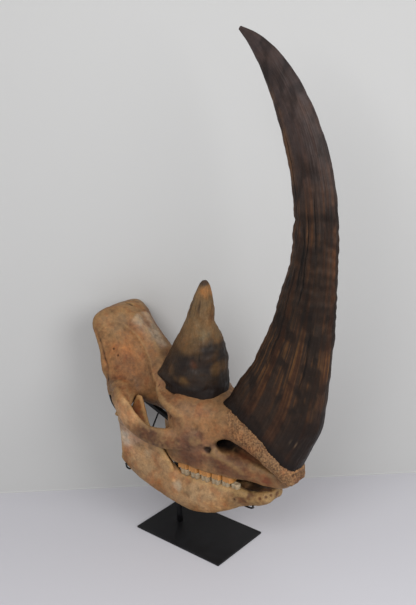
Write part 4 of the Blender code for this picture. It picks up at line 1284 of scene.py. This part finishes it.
def frontTint(points, fibre, share):
    # Dark horn with rust and golden streaks along its fibres, painted sheen greying its upper part, a
    # brown rear edge, dark bands across it and a dark rim.
    look = frontColours
    x, y, z = points.T
    colours = np.tile(linear(look["body"]), (len(points), 1))
    broad = layered(fibre * (1, 1, 0.3), 0.014, 3, 61)
    thin = layered(fibre * (1, 1, 0.16), 0.0030, 3, 63)
    colours = mixTint(colours, linear(look["rust"]), 0.8 * ramp(broad, -0.1, 0.6))
    # Painted sheen: the upper part of the horn turns grey.
    colours = mixTint(colours, linear(look["upper"]), 0.75 * ramp(share, 0.45, 0.85))
    patch = layered(points * (1, 1, 0.6), 0.035, 3, 66)
    golden = bell(share - 0.25, 0.10) + 0.5 * bell(share - 0.53, 0.08)
    gold = ramp(thin + 0.5 * broad, -0.05, 0.6) * golden * ramp(patch, -0.7, 0.2)
    colours = mixTint(colours, linear(look["gold"]), np.clip(gold, 0, 1) * 0.7)
    colours = colours * (1 - 0.45 * ramp(-patch, -0.05, 0.6))[:, None]
    level, reach, pitch, strength = look["ripple"]
    ripple = strength * np.sin(2 * np.pi * (z + 0.01 * broad + 0.1 * x) / pitch)
    colours = colours * (1 + ripple * bell(z - level, reach) * ramp(patch, -0.8, 0.2))[:, None]
    edge = ramp(-fibre[:, 0], 0.020, 0.040) * ramp(z, 1.00, 1.12) * ramp(-z, -1.34, -1.26)
    colours = mixTint(colours, linear(look["rearEdge"]), 0.8 * edge * ramp(patch + thin, -0.7, 0.4))
    for level, reach, strength in look["bands"]:
        band = bell(z - level - 0.1 * (x - 0.4) + 0.012 * broad, reach)
        colours = colours * (1 - strength * band)[:, None]
    rim = ramp(-(z - boneTop(x, y)), -0.085, -0.01)
    rim = np.maximum(rim, ramp(x, 0.30, 0.38) * ramp(-z, -0.54, -0.42) * 0.8)
    colours = mixTint(colours, linear(look["rim"]), rim * 0.9)
    scuff = bell(np.linalg.norm(points - look["scuffPlace"], axis=1), look["scuffReach"])
    return mixTint(colours, linear(look["scuff"]), scuff * ramp(thin, -0.2, 0.3) * 0.8)


rearColours = {
    "body": "6c5438",
    "lower": "4a3723",
    "dark": "241d19",
    "patches": (
        (70, -13, 768, 18, "95663a", 0.9), (82, 1, 693, 20, "5c3a22", 0.7),
        (-20, -40, 650, 36, "5f4229", 0.6), (24, -50, 636, 24, "75502f", 0.6),
        (74, -34, 648, 22, "6a5c42", 0.6), (41, -57, 616, 26, "5e4428", 0.6),
        (-25, -55, 578, 22, "34271c", 0.7), (105, 11, 593, 34, "231b17", 0.9),
        (94, -32, 602, 42, "26201c", 0.95), (86, -48, 572, 42, "211916", 0.95),
        (36, -73, 562, 42, "211a17", 1.0), (66, -63, 568, 16, "4d3020", 0.7),
        (108, -14, 556, 26, "5a4228", 0.8), (-9, -74, 545, 24, "4f3a25", 0.7),
        (37, -77, 520, 24, "5c4427", 0.85), (10, -80, 524, 16, "574026", 0.7),
        (75, -60, 524, 30, "2a201a", 0.85), (-85, -10, 580, 30, "5d4529", 0.7),
        (60, 60, 580, 40, "241c18", 0.9), (0, 75, 560, 35, "2a211b", 0.9),
        (-60, 45, 570, 30, "2a211b", 0.8),
    ),
    "rim": "1f1815",
    "tip": "3c2f27",
    "streak": "2b221c",
}


def rearTint(points, fibre, share):
    # Olive brown with near black and ochre blotches low down, a tan ring under the dark tip and a
    # dark rim. The share of the way up is given as for the front horn, and isn't needed here.
    look = rearColours
    z = points[:, 2]
    cloud = layered(points, 0.05, 3, 74)
    level = z + 0.016 * cloud
    colours = np.tile(linear(look["body"]), (len(points), 1))
    colours = mixTint(colours, linear(look["lower"]), ramp(-level, -0.66, -0.59))
    colours = mixTint(colours, linear(look["dark"]), ramp(-level, -0.615, -0.56) * 0.85)
    colours = colours * (1 + 0.22 * layered(points * (1, 1, 0.6), 0.022, 4, 78))[:, None]
    colours = paintPatches(points, colours, look["patches"], 71, 0.45, 0.05)
    streak = bell(fibre[:, 1] + 0.045, 0.003) * bell(z - 0.722, 0.022)
    colours = mixTint(colours, linear(look["streak"]), streak * 0.8)
    rim = ramp(-(z + 0.006 * cloud), -0.528, -0.498)
    colours = mixTint(colours, linear(look["rim"]), rim)
    return mixTint(colours, linear(look["tip"]), ramp(level, 0.770, 0.784) * 0.9)


hornLook = {
    "blotch": 0.05,
    "mottle": 0.5,
    "warm": (1.2, 1.0, 0.8, 1),
    "grey": (0.82, 0.9, 1.0, 1),
    "stretch": (1, 1, 0.35),
    "streakScale": 420.0,
    "streakShare": 0.55,
    "streak": (0.72, 0.7, 0.7, 1),
    "bump": 0.5,
    "bumpDepth": 0.0012,
    "gloss": (0.42, 0.65),
    "shine": 0.18,
}
noseHorn = buildHorn(frontHorn, frontTint)
finishPiece(noseHorn, hornMaterial("nose horn", hornLook), "front_horn")
browLook = dict(hornLook, streakShare=0.35, bump=0.4, mottle=0.7, blotch=0.028)
browHorn = buildHorn(rearHorn, rearTint)
finishPiece(browHorn, hornMaterial("brow horn", browLook), "rear_horn")
print("horns:", len(noseHorn.data.polygons), "and", len(browHorn.data.polygons), "faces")

# Teeth: each tooth's name, length and width from the front backwards.
teeth = {
    "biteZ": 0.2475,
    "space": 0.0012,
    "gap": 0.0004,
    "samples": 48,
    "crownRings": 14,
    "biteRings": 8,
    "basin": 0.0028,
    "wear": 0.0006,
    "upper": {
        "box": 0.55, "neck": 0.86, "front": 0.182, "rootZ": 0.284, "rowY": (-0.044, -0.060),
        "row": (
            ("p3", 0.034, 0.036), ("p4", 0.0325, 0.040), ("m1", 0.042, 0.043), ("m2", 0.034, 0.044),
            ("m3", 0.039, 0.038),
        ),
    },
    "lower": {
        "box": 0.72, "neck": 0.74, "front": 0.2015, "rootZ": 0.212, "rowY": (-0.044, -0.063),
        "row": (
            ("p2", 0.029, 0.018), ("p3", 0.028, 0.021), ("p4", 0.034, 0.024), ("m1", 0.033, 0.026),
            ("m2", 0.036, 0.026), ("m3", 0.034, 0.024),
        ),
    },
}


def toothSurface(part, jaw, xRear, length, y, width, crownZ):
    # A rounded block whose outline is swollen at its two lobes. Rings climb from root to crown and
    # then shrink over the biting face to its middle, where ridges and basins alternate.
    box, neck, rootZ = (part[jaw][key] for key in ("box", "neck", "rootZ"))
    crown, bite = part["crownRings"], part["biteRings"]
    turn = np.linspace(0, 2 * np.pi, part["samples"], endpoint=False)
    cosine, sine = np.cos(turn), np.sin(turn)
    across = np.sign(sine) * np.abs(sine) ** box
    along = np.sign(cosine) * np.abs(cosine) ** box
    lobes = np.abs(np.sin(np.pi * (along + 1)))
    cheek = 0.9 + 0.1 * np.cos(3 * np.pi * along) if jaw == "upper" else 0.72 + 0.30 * lobes
    tongue = 0.86 + 0.1 * lobes
    swell = np.where(sine < 0, cheek, tongue)
    levels = np.concatenate([np.linspace(0, 1, crown), np.ones(bite)])
    climb = np.sin(np.linspace(0, 1, crown) * np.pi * 0.6)
    sizes = np.concatenate([neck + (1 - neck) * climb, np.linspace(0.94, 0.06, bite)])
    up = 1 if crownZ > rootZ else -1
    flatX = xRear + length / 2 + length / 2 * along[None] * sizes[:, None]
    flatY = y + width / 2 * (across * swell)[None] * sizes[:, None]
    z = rootZ + (crownZ - rootZ) * levels[:, None] + 0 * flatX
    inner = np.clip((0.94 - sizes) / 0.3, 0, 1)[:, None] * (levels[:, None] >= 1)
    basin = 0.5 + 0.5 * np.cos((flatX - xRear) / length * 4 * np.pi)
    edge = (levels[:, None] >= 1) * (sizes[:, None] > 0.9)
    z = z - up * (part["basin"] * inner * basin + part["wear"] * edge)
    return np.stack([flatX, flatY, z], axis=-1)


toothLooks = {
    "upper": {"gum": "4f2f1a", "body": "b0793f", "bite": "c4955a"},
    "lower": {"gum": "453020", "body": "9a876b", "bite": "bdae93"},
    "blotch": 0.012,
    "mottle": 0.5,
    "warm": (1.15, 0.95, 0.78, 1),
    "grey": (0.85, 0.93, 1.0, 1),
    "stretch": (1, 1, 0.18),
    "streakScale": 900.0,
    "bump": 0.25,
    "bumpDepth": 0.0008,
    "gloss": (0.28, 0.45),
    "shine": 0.45,
}


def toothMaterial(name, look):
    # Enamel: the painted tint, mottled, with fine lines up the crown.
    made, tree, place, layer = startMaterial(name)
    drawn = useGroup(tree, grainGroup, {
        "Vector": place, "Stretch": look["stretch"], "Scale": look["streakScale"],
    })
    level = rangeOf(tree, drawn["Streak"], 0.0, 1.0, 0.85, 1.08)
    colour = shadedBy(tree, mottledTint(tree, place, layer, look), level)
    gloss = rangeOf(tree, drawn["Streak"], 0.0, 1.0, *look["gloss"])
    endMaterial(tree, look, colour, gloss, drawn["Height"])
    return made


def buildTeeth(part, looks):
    for jaw in ("upper", "lower"):
        facts, look = part[jaw], looks[jaw]
        material = toothMaterial(jaw + " tooth enamel", looks)
        crownZ = part["biteZ"] + part["gap"] * (1 if jaw == "upper" else -1)
        total = sum(length + part["space"] for label, length, width in facts["row"])
        x = facts["front"]
        for label, length, width in facts["row"]:
            x -= length
            share = (facts["front"] - x - length / 2) / total
            y = facts["rowY"][0] + (facts["rowY"][1] - facts["rowY"][0]) * share**0.8
            grid = toothSurface(part, jaw, x, length, y, width, crownZ)
            for side, sign in (("right", 1), ("left", -1)):
                name = f"{jaw}_{label}_{side}"
                piece = addPiece(name + "_tooth", surfaceMesh(name, [grid * (1, sign, 1)]))
                points = readPoints(piece.data)
                up = (points[:, 2] - facts["rootZ"]) / (crownZ - facts["rootZ"])
                colours = np.tile(linear(look["gum"]), (len(points), 1))
                colours = mixTint(colours, linear(look["body"]), ramp(up, 0.35, 0.6))
                colours = mixTint(colours, linear(look["bite"]), ramp(up, 0.8, 1.0) * 0.6)
                writeTint(piece.data, colours)
                finishPiece(piece, material, name)
            x -= part["space"]


buildTeeth(teeth, toothLooks)
print("teeth are set")

# Stand: the square post, the sloping bar and the bent rods with their hooks.
stand = {
    "plateTop": 0.006,
    "postX": -0.075,
    "side": 0.013,
    "barRear": (-0.232, 0.394),
    "barFront": (-0.052, 0.328),
    "rod": 0.0026,
    "gap": 0.0004,
    "prop": mm((-140, 0, 354), (-166, 0, 302), (-190, 0, 246), (-197, 0, 214)),
    "arms": (
        mm((-196, 0, 216), (-190, -50, 200), (-176, -92, 194), (-177, -108, 202), (-178, -112.5, 218)),
        mm((-75, 0, 176), (80, -10, 164), (205, -26, 172), (234, -34, 182), (241, -42, 194)),
        mm((-205, 0, 382), (-214, -50, 354), (-210, -94, 350), (-202, -106, 374), (-210, -119, 408),
           (-212, -125, 434)),
    ),
}


def squareBar(start, end, side, bevel=0.0012):
    # A square section with rounded corners, carried straight from start to end.
    start, end = np.array(start), np.array(end)
    tangent = (end - start) / np.linalg.norm(end - start)
    across = np.array((0.0, 1.0, 0.0))
    tall = np.cross(across, tangent)
    corners = np.array(((1, 1), (-1, 1), (-1, -1), (1, -1)))
    angle = np.radians(np.linspace(0, 90, 5) + 90 * np.arange(4)[:, None])
    bend = np.stack([np.cos(angle), np.sin(angle)], axis=-1)
    ring = (corners[:, None] * (side / 2 - bevel) + bevel * bend).reshape(-1, 2)
    path = start + np.linspace(0, 1, 12)[:, None] * (end - start)
    return path[:, None] + ring[None, :, :1] * across + ring[None, :, 1:] * tall


def buildStand(part):
    # The post runs up into the bar, whose height there follows its slope.
    (rearX, rearZ), (frontX, frontZ) = part["barRear"], part["barFront"]
    side, postX = part["side"], part["postX"]
    top = rearZ + (frontZ - rearZ) / (frontX - rearX) * (postX - rearX) - side * 0.2
    post = squareBar((postX, 0, part["plateTop"] + part["gap"]), (postX, 0, top), side)
    grids = [post, squareBar((rearX, 0, rearZ), (frontX, 0, frontZ), side)]
    for path in (part["prop"], *part["arms"]):
        rows = np.hstack([path, np.full((len(path), 2), part["rod"])])
        grid = sweptOval(rows, sides=20, along=10)
        grids += bothSides(grid) if path is not part["prop"] else [grid]
    return addPiece("standFrame", surfaceMesh("standFrame", grids))


steelLook = {
    "paint": rgba("121214"),
    "dust": rgba("1b1b1d"),
    "cloudScale": 25.0,
    "grainScale": 700.0,
    "bump": 0.15,
    "bumpDepth": 0.0004,
    "gloss": (0.38, 0.52),
    "shine": 0.25,
}


def steelMaterial(name, look):
    # Black paint on steel: a fine grain, faint dusty clouds and a soft satin shine.
    made, tree, place = startMaterial(name)[:3]
    cloud = noiseOf(tree, place, look["cloudScale"], 4.0, 0.6)
    fine = noiseOf(tree, place, look["grainScale"], 3.0, 0.6)
    colour = mixOf(tree, rangeOf(tree, cloud, 0.4, 0.75), look["paint"], look["dust"])
    endMaterial(tree, look, colour, rangeOf(tree, cloud, 0.3, 0.7, *look["gloss"]), fine)
    return made


steel = steelMaterial("black satin steel", steelLook)
standFrame = buildStand(stand)
finishPiece(standFrame, steel, "stand_frame")
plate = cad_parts["base_plate"]
plate.data.materials.clear()
plate.data.materials.append(steel)
print("stand is built")
